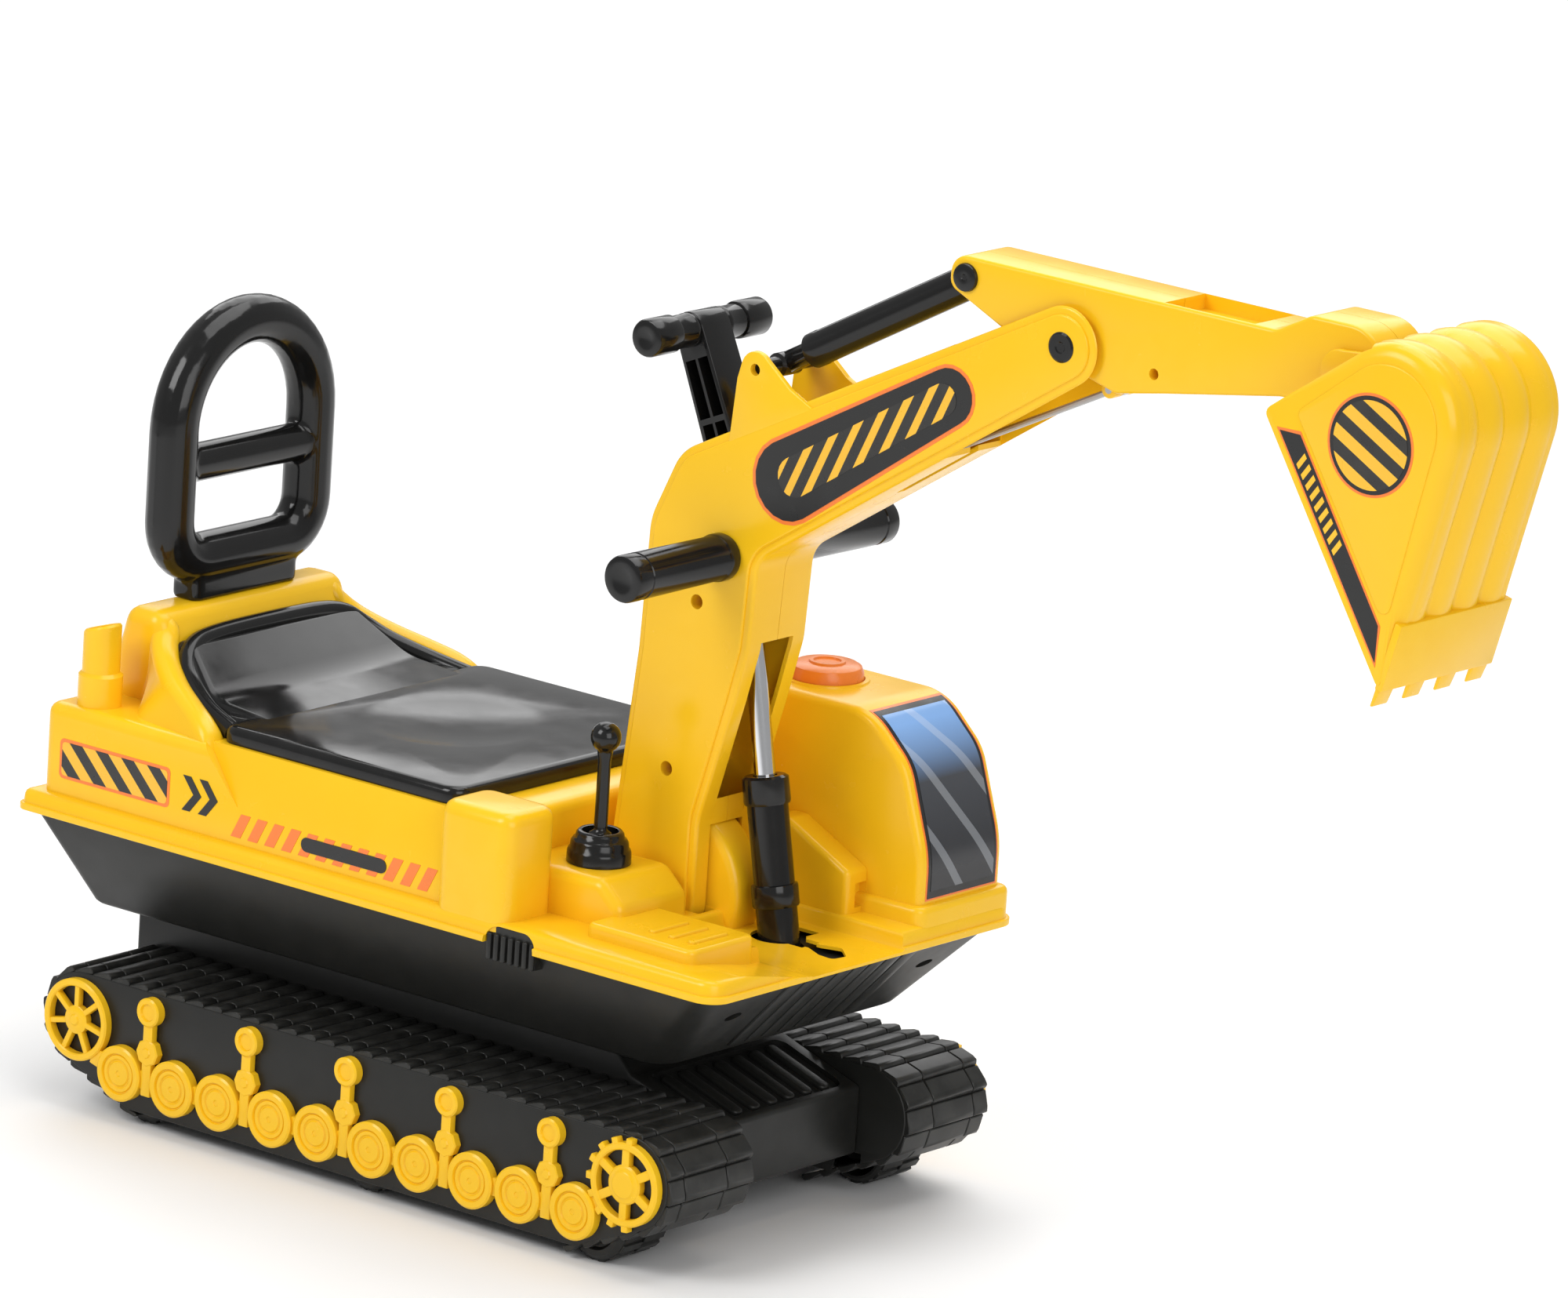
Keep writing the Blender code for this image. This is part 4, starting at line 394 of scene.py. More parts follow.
dark_plastic = plastic("satin_dark_plastic", (0.012, 0.0122, 0.011), (0.05, 0.05, 0.046), 0.38, shade=0.15,
                       grain=900.0, relief=0.05, rubbed=0.35, dusty=0.015, shine=0.34)
TRACK_IN, TRACK_OUT, TRACK_WALL = 0.0903, 0.187, 0.0035
IDLER, SPROCKET = (-0.266, 0.071), (0.276, 0.071)
BELT_RADIUS, BELT_FLOOR, BELT_RAKE, RAKE_ANGLE = 0.036, 0.011, 0.051, 24
MOUTH = (-0.242, 0.274)
MOUTH_SILL = (0.0266, 0.0356)
SHOE_COUNT, SHOE_HALF, SHOE_FOOT, SHOE_CREST = 48, 0.0091, 0.0010, 0.0040
SHOE_SPANS = ((0.0912, 0.1207), (0.1217, 0.1691), (0.1701, 0.1862))


def belt_line(radius):
    """Round ends of the belt line, from the rear floor over the top to the front floor."""
    return [*arc(IDLER, radius, 270 - RAKE_ANGLE, 90, 14), *arc(SPROCKET, radius, 90, RAKE_ANGLE - 90, 14)]


belt = [(IDLER[0] + BELT_RAKE, BELT_FLOOR), *belt_line(BELT_RADIUS), (SPROCKET[0] - BELT_RAKE, BELT_FLOOR)]
hollow = [(MOUTH[0], -BELT_FLOOR), (MOUTH[0], MOUTH_SILL[0]), *belt_line(BELT_RADIUS - TRACK_WALL),
          (MOUTH[1], MOUTH_SILL[1]), (MOUTH[1], -BELT_FLOOR)]
track_room = slab(hollow, TRACK_IN + TRACK_WALL, TRACK_OUT - TRACK_WALL)
inner_mouth = box((MOUTH[0] + 0.002, MOUTH[1] - 0.002), (TRACK_IN - 0.01, TRACK_IN + 2 * TRACK_WALL),
                  (-BELT_FLOOR, 0.038))
track_shell = bevelled(less(slab(belt, TRACK_IN, TRACK_OUT), track_room, inner_mouth), 0.0012)
shoe_side = [(-SHOE_HALF, -0.0012), (SHOE_HALF, -0.0012), (SHOE_HALF, SHOE_FOOT),
             (SHOE_HALF - 0.0016, SHOE_CREST), (SHOE_HALF - 0.0062, SHOE_CREST), (-SHOE_HALF, SHOE_FOOT)]
shoe = joined([bevelled(slab(shoe_side, *span), 0.0007, 1) for span in SHOE_SPANS])
shoe_holder = bpy.data.objects.new("shoe", shoe)
belt_wire = bpy.data.meshes.new("belt_line")
belt_wire.from_pydata([(x, 0.0, z) for x, z in belt], [(i, i + 1) for i in range(len(belt) - 1)], [])
shoes = grown(belt_wire, belt_tree, {"Shoe": shoe_holder, "Count": SHOE_COUNT, "Finish": dark_plastic})
bpy.data.objects.remove(shoe_holder)
both_sides("track_{}_shell", joined([track_shell, shoes]), "undercarriage", dark_plastic, "track_{}")


# Roller trims: one yellow moulding on the outer face of each track, with a spoked idler ring, ten rollers on
# five posts and a toothed sprocket. The trims are glued and pegged to the tracks.
def lathe(profile, at, way, steps=40, bored=False):
    """Turned shape: a (radius, height) profile swept about an axis."""
    work = bmesh.new()
    rings = []
    for radius, height in profile:
        count = steps if radius > 0.0 else 1
        rings.append([work.verts.new((radius * cos(tau * i / steps), radius * sin(tau * i / steps), height))
                      for i in range(count)])
    pairs = list(zip(rings, rings[1:]))
    if bored:
        pairs.append((rings[-1], rings[0]))
    for first, second in pairs:
        for i in range(steps):
            j = (i + 1) % steps
            if len(first) > 1 and len(second) > 1:
                work.faces.new((first[i], first[j], second[j], second[i]))
            elif len(first) > 1:
                work.faces.new((first[i], first[j], second[0]))
            elif len(second) > 1:
                work.faces.new((first[0], second[j], second[i]))
    mesh = closed(work)
    turn = Vector(way).to_track_quat("Z", "Y").to_matrix().to_4x4()
    mesh.transform(Matrix.Translation(at) @ turn)
    return mesh


row_tree, row_in, row_out = growing_tree("row_of_like_shapes", [
    ("Count", "NodeSocketInt"), ("Step", "NodeSocketVector"), ("Turn", "NodeSocketVector"),
    ("Finish", "NodeSocketMaterial")])
row_line = add(row_tree, "GeometryNodeMeshLine", {"Count": row_in["Count"], "Offset": row_in["Step"]},
               mode="OFFSET")
row_index = add(row_tree, "GeometryNodeInputIndex").outputs["Index"]
row_turn = add(row_tree, "ShaderNodeVectorMath", {0: row_in["Turn"], "Scale": row_index}, operation="SCALE")
planted(row_tree, row_in, row_out, row_line.outputs["Mesh"], row_in["Geometry"], row_turn.outputs[0])


def row(unit, count, finish, step=(0.0, 0.0, 0.0), turn=(0.0, 0.0, 0.0)):
    """A shape repeated along a line or about the origin."""
    return grown(unit, row_tree, {"Count": count, "Step": step, "Turn": turn, "Finish": finish})


yellow_plastic = plastic("yellow_plastic", (0.93, 0.545, 0.011), (1.0, 0.68, 0.06), 0.23, shade=0.025,
                         grain=420.0, relief=0.015, rubbed=0.15, dusty=0.0, shine=0.36)
TRIM_FACE = TRACK_OUT + 0.0003
OUTWARD = (0.0, 1.0, 0.0)
RING_OUTER, RING_INNER, RING_DEPTH, RING_SPOKES, RING_HUB = 0.0318, 0.0262, 0.0070, 7, 0.011
SPROCKET_SPOKES, SPROCKET_HUB, SPROCKET_TEETH = 6, 0.015, 9
POST_COUNT, POST_PITCH, POST_FIRST, POST_CAP_Z, BRACKET_Z = 5, 0.0989, -0.1925, 0.0935, 0.0618
ROLLER_Z, ROLLER_OFFSET = 0.0395, 0.0267
ROLLER = [(0.0, 0.0066), (0.0020, 0.0066), (0.0024, 0.0072), (0.0090, 0.0071), (0.0100, 0.0060),
          (0.0106, 0.0060), (0.0116, 0.0071), (0.0140, 0.0071), (0.0147, 0.0062), (0.0153, 0.0062),
          (0.0160, 0.0081), (0.0200, 0.0082), (0.0215, 0.0070), (0.0215, 0.0), (0.0, 0.0)]
POST_CAP = [(0.0, 0.0061), (0.0062, 0.0061), (0.0070, 0.0078), (0.0100, 0.0079), (0.0112, 0.0068),
            (0.0112, 0.0), (0.0, 0.0)]
BRACKET = [(0.0, 0.0078), (0.0034, 0.0077), (0.0042, 0.0066), (0.0098, 0.0066), (0.0108, 0.0056),
           (0.0108, 0.0), (0.0, 0.0)]


def on_trim(x, z):
    """Place on the track's outer face."""
    return (x, TRIM_FACE, z)


def strip(start, end, width, depth):
    """Flat bar of the trim between two (x, z) points."""
    first, last = Vector(start), Vector(end)
    out = (last - first).normalized().orthogonal() * (width / 2)
    side = [tuple(first + out), tuple(last + out), tuple(last - out), tuple(first - out)]
    return bevelled(slab(side, TRIM_FACE, TRIM_FACE + depth), 0.0008, 2)


def spoke_tip(hub, turn, reach):
    """Point at a turn and a distance from a hub."""
    return (hub[0] + reach * cos(turn), hub[1] + reach * sin(turn))


ring_profile = [(RING_OUTER - 0.0012, RING_DEPTH), (RING_OUTER, RING_DEPTH - 0.0012), (RING_OUTER, 0.0),
                (RING_INNER, 0.0), (RING_INNER, RING_DEPTH - 0.001), (RING_INNER + 0.001, RING_DEPTH)]
hub_profile = [(0.0, 0.0080), (0.0034, 0.0078), (0.0046, 0.0066), (0.0096, 0.0064), (RING_HUB, 0.0054),
               (RING_HUB, 0.0), (0.0, 0.0)]
drive_profile = [(0.0, 0.0078), (0.0095, 0.0077), (0.0110, 0.0066), (0.0136, 0.0065),
                 (SPROCKET_HUB, 0.0054), (SPROCKET_HUB, 0.0), (0.0, 0.0)]
RING_MIDDLE = (RING_OUTER + RING_INNER) / 2
trim = [lathe(ring_profile, on_trim(*hub), OUTWARD, 56, bored=True) for hub in (IDLER, SPROCKET)]
trim += [lathe(hub_profile, on_trim(*IDLER), OUTWARD), lathe(drive_profile, on_trim(*SPROCKET), OUTWARD)]
for i in range(RING_SPOKES):
    trim.append(strip(IDLER, spoke_tip(IDLER, tau * i / RING_SPOKES + pi / 2, RING_MIDDLE), 0.0044, 0.0058))
for i in range(SPROCKET_SPOKES):
    turn = tau * (i + 0.5) / SPROCKET_SPOKES
    trim.append(strip(SPROCKET, spoke_tip(SPROCKET, turn, RING_MIDDLE), 0.0070, 0.0060))
for i in range(SPROCKET_TEETH):
    turn = radians(85 + 190 * i / (SPROCKET_TEETH - 1))
    trim.append(strip(spoke_tip(SPROCKET, turn, RING_MIDDLE),
                      spoke_tip(SPROCKET, turn, RING_OUTER + 0.0040), 0.0058, 0.0066))
first_roller = POST_FIRST - ROLLER_OFFSET
last_roller = POST_FIRST + POST_PITCH * (POST_COUNT - 1) + ROLLER_OFFSET
trim += [strip(spoke_tip(IDLER, -0.93, RING_MIDDLE), (first_roller, ROLLER_Z), 0.014, 0.0052),
         strip((last_roller, ROLLER_Z), spoke_tip(SPROCKET, pi + 0.64, RING_MIDDLE), 0.014, 0.0052),
         strip((first_roller, ROLLER_Z), (last_roller, ROLLER_Z), 0.014, 0.0052)]
post_unit = joined([
    lathe(ROLLER, on_trim(first_roller, ROLLER_Z), OUTWARD),
    lathe(ROLLER, on_trim(POST_FIRST + ROLLER_OFFSET, ROLLER_Z), OUTWARD),
    lathe(POST_CAP, on_trim(POST_FIRST, POST_CAP_Z), OUTWARD, 32),
    lathe(BRACKET, on_trim(POST_FIRST, BRACKET_Z), OUTWARD, 8),
    strip((POST_FIRST, POST_CAP_Z), (POST_FIRST, 0.0275), 0.0092, 0.0060)])
trim.append(row(post_unit, POST_COUNT, yellow_plastic, (POST_PITCH, 0.0, 0.0)))
both_sides("roller_trim_{}_moulding", joined(trim), "undercarriage", yellow_plastic, "roller_trim_{}")

# Running wheels: six hollow dark wheels with two staggered rows of tread blocks, moulded in one piece each,
# turning on three plain steel axles that run through the chassis.
WHEEL_RADIUS, WHEEL_HALF, WHEEL_Y = 0.030, 0.026, 0.152
WHEEL_XS = {"rear": -0.206, "middle": 0.017, "front": 0.238}
TREAD_ROOT, TREAD_COUNT = 0.0282, 16
AXLE_BORE, WHEEL_HUB, WHEEL_RIM = 0.0044, 0.011, 0.0235
wheel_profile = [(TREAD_ROOT - 0.0035, WHEEL_HALF), (TREAD_ROOT, WHEEL_HALF - 0.0035),
                 (TREAD_ROOT, 0.0025 - WHEEL_HALF), (TREAD_ROOT - 0.0025, -WHEEL_HALF),
                 (WHEEL_RIM, -WHEEL_HALF), (WHEEL_RIM, WHEEL_HALF - 0.006), (WHEEL_HUB, WHEEL_HALF - 0.006),
                 (WHEEL_HUB, -WHEEL_HALF), (AXLE_BORE, -WHEEL_HALF), (AXLE_BORE, WHEEL_HALF - 0.001),
                 (0.009, WHEEL_HALF - 0.001), (0.011, WHEEL_HALF - 0.003), (0.0185, WHEEL_HALF - 0.003),
                 (0.0205, WHEEL_HALF)]
block_side = [(-0.0040, TREAD_ROOT - 0.001), (0.0040, TREAD_ROOT - 0.001), (0.0034, WHEEL_RADIUS - 0.0001),
              (-0.0034, WHEEL_RADIUS - 0.0001)]
half_turn = Matrix.Rotation(pi / TREAD_COUNT, 4, "Y")
inner_blocks = slab(block_side, -0.0235, -0.0004)
outer_blocks = slab(block_side, 0.0004, 0.0218)
outer_blocks.transform(half_turn)
tread = row(bevelled(joined([inner_blocks, outer_blocks]), 0.0005, 1), TREAD_COUNT, dark_plastic,
            turn=(0.0, tau / TREAD_COUNT, 0.0))
wheel_left = joined([lathe(wheel_profile, (0.0, 0.0, 0.0), OUTWARD, 48, bored=True), tread])
for side, half in (("left", wheel_left), ("right", mirrored(wheel_left))):
    sign = 1 if side == "left" else -1
    for place, x in WHEEL_XS.items():
        wheel = half.copy()
        wheel.transform(Matrix.Translation((x, sign * WHEEL_Y, WHEEL_RADIUS)))
        piece(f"running_wheel_{side}_{place}", wheel, f"wheel_{side}_{place}", dark_plastic,
              f"wheel_{side}_{place}")


def metal(name, colour, gloss, brushed):
    """Bare metal with fine draw marks and dull patches."""
    made, tree, shader = new_material(name)
    place = places(tree)
    marks = noise(tree, place, 320.0, 3.0)
    patches = noise(tree, place, 30.0, 4.0)
    darker = tuple(c * 0.82 for c in colour)
    fill(tree, shader, {"Base Color": blended(tree, patches, (*colour, 1.0), (*darker, 1.0)),
                        "Roughness": spread(tree, patches, 0.3, 0.7, gloss * 0.8, gloss * 1.3),
                        "Normal": bumped(tree, brushed, 0.0002, marks), "Metallic": 1.0})
    return made


zinc_steel = metal("steel", (0.55, 0.56, 0.58), 0.32, 0.15)


def carried_over(finish, *names):
    """CAD nodes that show as they are, with a finish of their own."""
    for name in names:
        node = frame["nodes"][name]
        node.data.materials.clear()
        node.data.materials.append(finish)


carried_over(zinc_steel, "axle_rear", "axle_middle", "axle_front")

# Chassis: one dark hollow moulding between the tracks, a tunnel with bearing tabs for the axles and, in
# front, a ribbed footboard that slopes down from the tunnel for the feet.
CHASSIS_HALF, CHASSIS_WALL, CHASSIS_LOW = 0.0897, 0.004, 0.038
CHASSIS_REAR, CHASSIS_FRONT = -0.300, 0.269
TUNNEL_TOP, TUNNEL_FRONT = 0.132, 0.178
RIDGE, RAMP_END, RAMP_FLOOR = Vector((0.192, 0.116)), Vector((CHASSIS_FRONT, 0.091)), 0.011
PANEL_DEPTH, PANEL_HALF, PANEL_MARGIN = 0.0040, 0.0775, 0.0065
RIB_COUNT, RIB_PITCH, RIB_WIDTH = 7, 0.0204, 0.0112
tabs = []
for x in WHEEL_XS.values():
    tabs += [(x - 0.0156, CHASSIS_LOW), (x - 0.0104, 0.020), (x + 0.0104, 0.020), (x + 0.0156, CHASSIS_LOW)]
chassis_side = [(CHASSIS_REAR, CHASSIS_LOW), *tabs, (CHASSIS_FRONT, CHASSIS_LOW), tuple(RAMP_END),
                tuple(RIDGE), (TUNNEL_FRONT, TUNNEL_TOP), (CHASSIS_REAR, TUNNEL_TOP)]
chassis_room = [(CHASSIS_REAR + CHASSIS_WALL, 0.0), (CHASSIS_FRONT - CHASSIS_WALL, 0.0),
                (CHASSIS_FRONT - CHASSIS_WALL, RAMP_END.y - RAMP_FLOOR), (RIDGE.x, RIDGE.y - RAMP_FLOOR),
                (TUNNEL_FRONT - CHASSIS_WALL, TUNNEL_TOP - CHASSIS_WALL),
                (CHASSIS_REAR + CHASSIS_WALL, TUNNEL_TOP - CHASSIS_WALL)]
chassis = bevelled(slab(chassis_side, -CHASSIS_HALF, CHASSIS_HALF), 0.0035, 4, 15)
chassis = less(chassis, slab(chassis_room, CHASSIS_WALL - CHASSIS_HALF, CHASSIS_HALF - CHASSIS_WALL))


def rounded_rectangle(x, y, radius, steps=5, rear=None):
    """Plan outline of a rectangle with round corners, those at its low x of their own radius if given."""
    points = []
    for corner_x, corner_y, start in ((x[1], y[1], 0), (x[0], y[1], 90), (x[0], y[0], 180),
                                      (x[1], y[0], 270)):
        bend = radius if rear is None or corner_x == x[1] else rear
        centre = (corner_x - bend * (1 if corner_x == x[1] else -1),
                  corner_y - bend * (1 if corner_y == y[1] else -1))
        points += arc(centre, bend, start, start + 90, steps)
    return points


def skinned(rings, open_end=False):
    """Solid through rings of points, each ring of the same count."""
    work = bmesh.new()
    loops = [[work.verts.new(point) for point in ring] for ring in rings]
    for first, second in zip(loops, loops[1:]):
        for i in range(len(first)):
            work.faces.new((first[i - 1], first[i], second[i], second[i - 1]))
    work.faces.new(loops[0])
    if not open_end:
        work.faces.new(loops[-1])
    return closed(work)


def stack(sections, open_top=False):
    """Skin through level sections, given as (height, outline) from the bottom up."""
    return skinned([[(x, y, z) for x, y in outline] for z, outline in sections], open_top)


def cushion_block(x, y, z, radius, ease):
    """Block with round upright corners and an eased top edge."""
    sections = [(z[0], rounded_rectangle(x, y, radius))]
    for turn in (0, 22.5, 45, 67.5, 90):
        step = ease * (1 - cos(radians(turn)))
        sections.append((z[1] - ease + ease * sin(radians(turn)),
                         rounded_rectangle((x[0] + step, x[1] - step), (y[0] + step, y[1] - step),
                                           max(radius - step, 0.0005))))
    return stack(sections)


def mid_plane(point):
    """Place or way in the machine's middle plane, from its (x, z)."""
    return (point[0], 0.0, point[1])


ramp = RAMP_END - RIDGE
ramp_place = Matrix.Translation(mid_plane(RIDGE)) @ Matrix.Rotation(atan2(-ramp.y, ramp.x), 4, "Y")
panel_x = (PANEL_MARGIN, ramp.length - PANEL_MARGIN)
panel = cushion_block(panel_x, (-PANEL_HALF, PANEL_HALF), (-PANEL_DEPTH, 0.02), 0.009, 0.001)
panel.transform(ramp_place)
chassis = less(chassis, panel)
first_rib = -RIB_PITCH * (RIB_COUNT - 1) / 2
foot_rib = cushion_block((panel_x[0] + 0.003, panel_x[1] - 0.003),
                         (first_rib - RIB_WIDTH / 2, first_rib + RIB_WIDTH / 2),
                         (-PANEL_DEPTH - 0.001, -0.0002), 0.005, 0.0022)
foot_ribs = row(foot_rib, RIB_COUNT, dark_plastic, (0.0, RIB_PITCH, 0.0))
foot_ribs.transform(ramp_place)
piece("chassis_moulding", joined([chassis, foot_ribs]), "undercarriage", dark_plastic, "chassis")

# Turntable: a dark slip ring on the tunnel with a steel king bolt and washer through it, holding the body
# down. These are plain turned shapes and show as the frame has them.
carried_over(dark_plastic, "turntable_ring")
carried_over(zinc_steel, "king_bolt", "king_bolt_washer")

# Lower shell: a dark boat-shaped tub under the body, one moulding with a rim that stands inside the upper
# shell's lip and is cut away where the deck is low in front. Its front is ribbed and has two oval holes.
HULL_LOW, HULL_SHOULDER_Z, HULL_RIM_Z, HULL_CORNER = 0.146, 0.217, 0.2297, (0.022, 0.012)
HULL_BOTTOM, HULL_SHOULDER = (-0.303, 0.262, 0.140), (-0.340, 0.328, 0.172)
HULL_RIBS, HULL_RIB_PITCH, HULL_RIB_HALF, HULL_RIB_HEIGHT = 8, 0.019, 0.0082, 0.0020
HOLE_Y, HOLE_RADIUS, HOLE_STRETCH = 0.112, 0.0048, 1.9


def plan(size, corner, shrink=0.0):
    """Plan outline from (rear x, front x, half width) and the (front, rear) radius of its corners."""
    rear, front, half = size
    return rounded_rectangle((rear + shrink, front - shrink), (shrink - half, half - shrink),
                             corner[0] - shrink, 8, corner[1] - shrink)


def between(low, high, share):
    """Plan size at a share of the way from one to another."""
    return tuple(a + (b - a) * share for a, b in zip(low, high))


hull = stack([(HULL_LOW, plan(HULL_BOTTOM, HULL_CORNER, 0.003)),
              (HULL_LOW + 0.0010, plan(HULL_BOTTOM, HULL_CORNER, 0.0008)),
              (HULL_LOW + 0.0030, plan(between(HULL_BOTTOM, HULL_SHOULDER, 0.042), HULL_CORNER)),
              (HULL_SHOULDER_Z - 0.002, plan(between(HULL_BOTTOM, HULL_SHOULDER, 0.98), HULL_CORNER)),
              (HULL_SHOULDER_Z, plan(HULL_SHOULDER, HULL_CORNER)),
              (HULL_RIM_Z, plan(HULL_SHOULDER, HULL_CORNER))], open_top=True)
hull = worked(hull, ("SOLIDIFY", {"thickness": 0.0035, "offset": -1.0, "use_even_offset": True}))


def left_of(way):
    """Direction square to another in a plane, on its left."""
    return Vector((-way.y, way.x))


def measured(start, run, outward):
    """Function for the point at a share of a run from its start and a distance off to one side."""
    return lambda share, out: tuple(start + run * share + outward * out)


def cylinder(radius, low, high):
    """Profile of a plain round bar or hole."""
    return [(0.0, high), (radius, high), (radius, low), (0.0, low)]


hull_run = Vector((HULL_SHOULDER[1] - HULL_BOTTOM[1], HULL_SHOULDER_Z - HULL_LOW))
hull_out = -left_of(hull_run).normalized()
on_bow = measured(Vector((HULL_BOTTOM[1], HULL_LOW)), hull_run, hull_out)
rib_start = -HULL_RIB_PITCH * (HULL_RIBS - 1) / 2
hull_rib = slab([on_bow(0.08, -0.001), on_bow(0.97, -0.001), on_bow(0.95, HULL_RIB_HEIGHT),
                 on_bow(0.12, HULL_RIB_HEIGHT)], rib_start - HULL_RIB_HALF, rib_start + HULL_RIB_HALF)
hull_ribs = row(bevelled(hull_rib, 0.0011, 2), HULL_RIBS, dark_plastic, (0.0, HULL_RIB_PITCH, 0.0))
holes = []
stretch = Matrix.Diagonal((1.0, HOLE_STRETCH, 1.0, 1.0))
for sign in (-1, 1):
    hole = lathe(cylinder(HOLE_RADIUS, -0.012, 0.012), mid_plane(on_bow(0.62, 0.0)), mid_plane(hull_out), 24)
    hole.transform(Matrix.Translation((0.0, sign * HOLE_Y, 0.0)) @ stretch)
    holes.append(hole)
PIT_Y, PIT_FLOOR = (-0.0690, 0.0430), 0.2195
rim_gap = box((0.300, 0.340), (-0.160, PIT_Y[1] + 0.004), (0.2165, 0.240))
hull = less(hull, *holes, rim_gap)
piece("lower_shell_moulding", joined([hull, hull_ribs]), "upper_body", dark_plastic, "lower_shell")

# Upper shell: the glossy yellow body, one blow moulding with lip, seat block, hump, arms, exhaust stub,
# fenders, console, step and ledge. In front its deck is low, with a keyhole slot for the strut over a dark
# floor. It is screwed to the lower shell, whose ribbed clip shows in the right lip.
LIP_LOW, DECK, BODY_TOP, HUMP_TOP = 0.217, 0.233, 0.302, 0.372
LIP, LIP_CORNER = (-0.350, 0.338, 0.180), (0.019, 0.0100)
EXHAUST, EXHAUST_CUT, EXHAUST_SLANT = (-0.303, -0.142), 0.345, 0.30
LIFT = (0.158, 0.240)


def filleted(corners, steps=6):
    """Closed outline from (x, z, radius) corners, each rounded by an arc of its radius."""
    outline = []
    for i, (x, z, radius) in enumerate(corners):
        here = Vector((x, z))
        before = (Vector(corners[i - 1][:2]) - here).normalized()
        after = (Vector(corners[(i + 1) % len(corners)][:2]) - here).normalized()
        half = before.angle(after) / 2
        if radius <= 0.0 or half > radians(89.5):
            outline.append((x, z))
            continue
        centre = here + (before + after).normalized() * (radius / sin(half))
        first = here + before * (radius * cos(half) / sin(half)) - centre
        last = here + after * (radius * cos(half) / sin(half)) - centre
        sweep = first.angle_signed(last)
        start = atan2(first.y, first.x)
        outline += [(centre.x + radius * cos(start - sweep * step / steps),
                     centre.y + radius * sin(start - sweep * step / steps)) for step in range(steps + 1)]
    return outline


def inset(outline, wall):
    """Outline moved inwards by a wall thickness."""
    area = sum(a[0] * b[1] - b[0] * a[1] for a, b in zip(outline, outline[1:] + outline[:1]))
    side = 1.0 if area > 0 else -1.0
    moved = []
    for i, point in enumerate(outline):
        here = Vector(point)
        before = (here - Vector(outline[i - 1])).normalized()
        after = (Vector(outline[(i + 1) % len(outline)]) - here).normalized()
        normals = [left_of(way) * side for way in (before, after)]
        middle = (normals[0] + normals[1]).normalized()
        moved.append(tuple(here + middle * (wall / max(middle.dot(normals[0]), 0.3))))
    return moved


def rounded_slab(outline, low, high, ease, low_ease=0.0, steps=4):
    """Solid with a side outline between two Y planes, its rim rounded at the high end and the low one."""
    turns = [pi / 2 * i / steps for i in range(steps + 1)]
    sections = [(low, 0.0)]
    if low_ease:
        sections = [(low + low_ease * (1 - sin(t)), low_ease * (1 - cos(t))) for t in reversed(turns)]
    sections += [(high - ease * (1 - sin(t)), ease * (1 - cos(t))) for t in turns]
    return skinned([[(x, y, z) for x, z in (inset(outline, shrink) if shrink else outline)]
                    for y, shrink in sections])


def turned_up(profile, at, steps, bored=False):
    """Turned shape standing upright on an (x, y) place, its heights measured from the floor."""
    return lathe(profile, (*at, 0.0), (0.0, 0.0, 1.0), steps, bored)


def smoothed(points):
    """Finer line through the given points, without corners."""
    line = [Vector(point) for point in points]
    fine = [line[0]]
    for i in range(len(line) - 1):
        here, there = line[i], line[i + 1]
        before, after = line[max(i - 1, 0)], line[min(i + 2, len(line) - 1)]
        leave, arrive = here + (there - before) / 6, there - (after - here) / 6
        fine += interpolate_bezier(here, leave, arrive, there, 6)[1:]
    return fine


def ridge_wall(line, half, last_half, base):
    """Wall with a round top along a line of points, flared out to the body's edge past the hump."""
    rings = []
    for i, here in enumerate(line):
        run = line[min(i + 1, len(line) - 1)] - line[max(i - 1, 0)]
        out = Vector((run.y, -run.x, 0.0)).normalized()
        width = half + (last_half - half) * i / (len(line) - 1)
        past = min(max((here.x - HUMP_FRONT) / FLARE_RUN, 0.0), 1.0)
        reach = width + 0.002 + max(BODY_EDGE + here.y - width, 0.0) * past
        section = [(reach, base), *arc((0.0, here.z - width), width, 0, 180, 10), (-width, base)]
        rings.append([(here.x + out.x * s, here.y + out.y * s, z) for s, z in section])
    return skinned(rings)


HUMP_FRONT, BODY_EDGE, FLARE_RUN = -0.272, 0.1635, 0.030
hump_side = filleted([(-0.326, 0.280, 0.0), (-0.267, 0.280, 0.0), (-0.267, 0.340, 0.014),
                      (-0.279, HUMP_TOP, 0.014), (-0.314, HUMP_TOP, 0.014), (-0.324, 0.335, 0.03)])
hump = rounded_slab(hump_side, -0.107, 0.107, 0.012, 0.012)
arm_line = smoothed([(-0.302, -0.094, 0.3705), (-0.282, -0.096, 0.3690), (-0.275, -0.103, 0.3570),
                     (-0.262, -0.113, 0.3455), (-0.240, -0.1265, 0.3345), (-0.214, -0.1390, 0.3255),
                     (-0.192, -0.1480, 0.3175), (-0.178, -0.1520, 0.3075), (-0.1715, -0.1530, 0.2900)])
arm = ridge_wall(arm_line, 0.0110, 0.0105, 0.2850)
exhaust = turned_up([(0.0, 0.3535), (0.0105, 0.3535), (0.0110, 0.3625), (0.0130, 0.3630), (0.0145, 0.3610),
                     (0.0145, 0.328), (0.0170, 0.3255), (0.0170, 0.285), (0.0, 0.285)], EXHAUST, 40)
for vertex in exhaust.vertices:
    if vertex.co.z > EXHAUST_CUT:
        vertex.co.z += EXHAUST_SLANT * (vertex.co.x - EXHAUST[0])
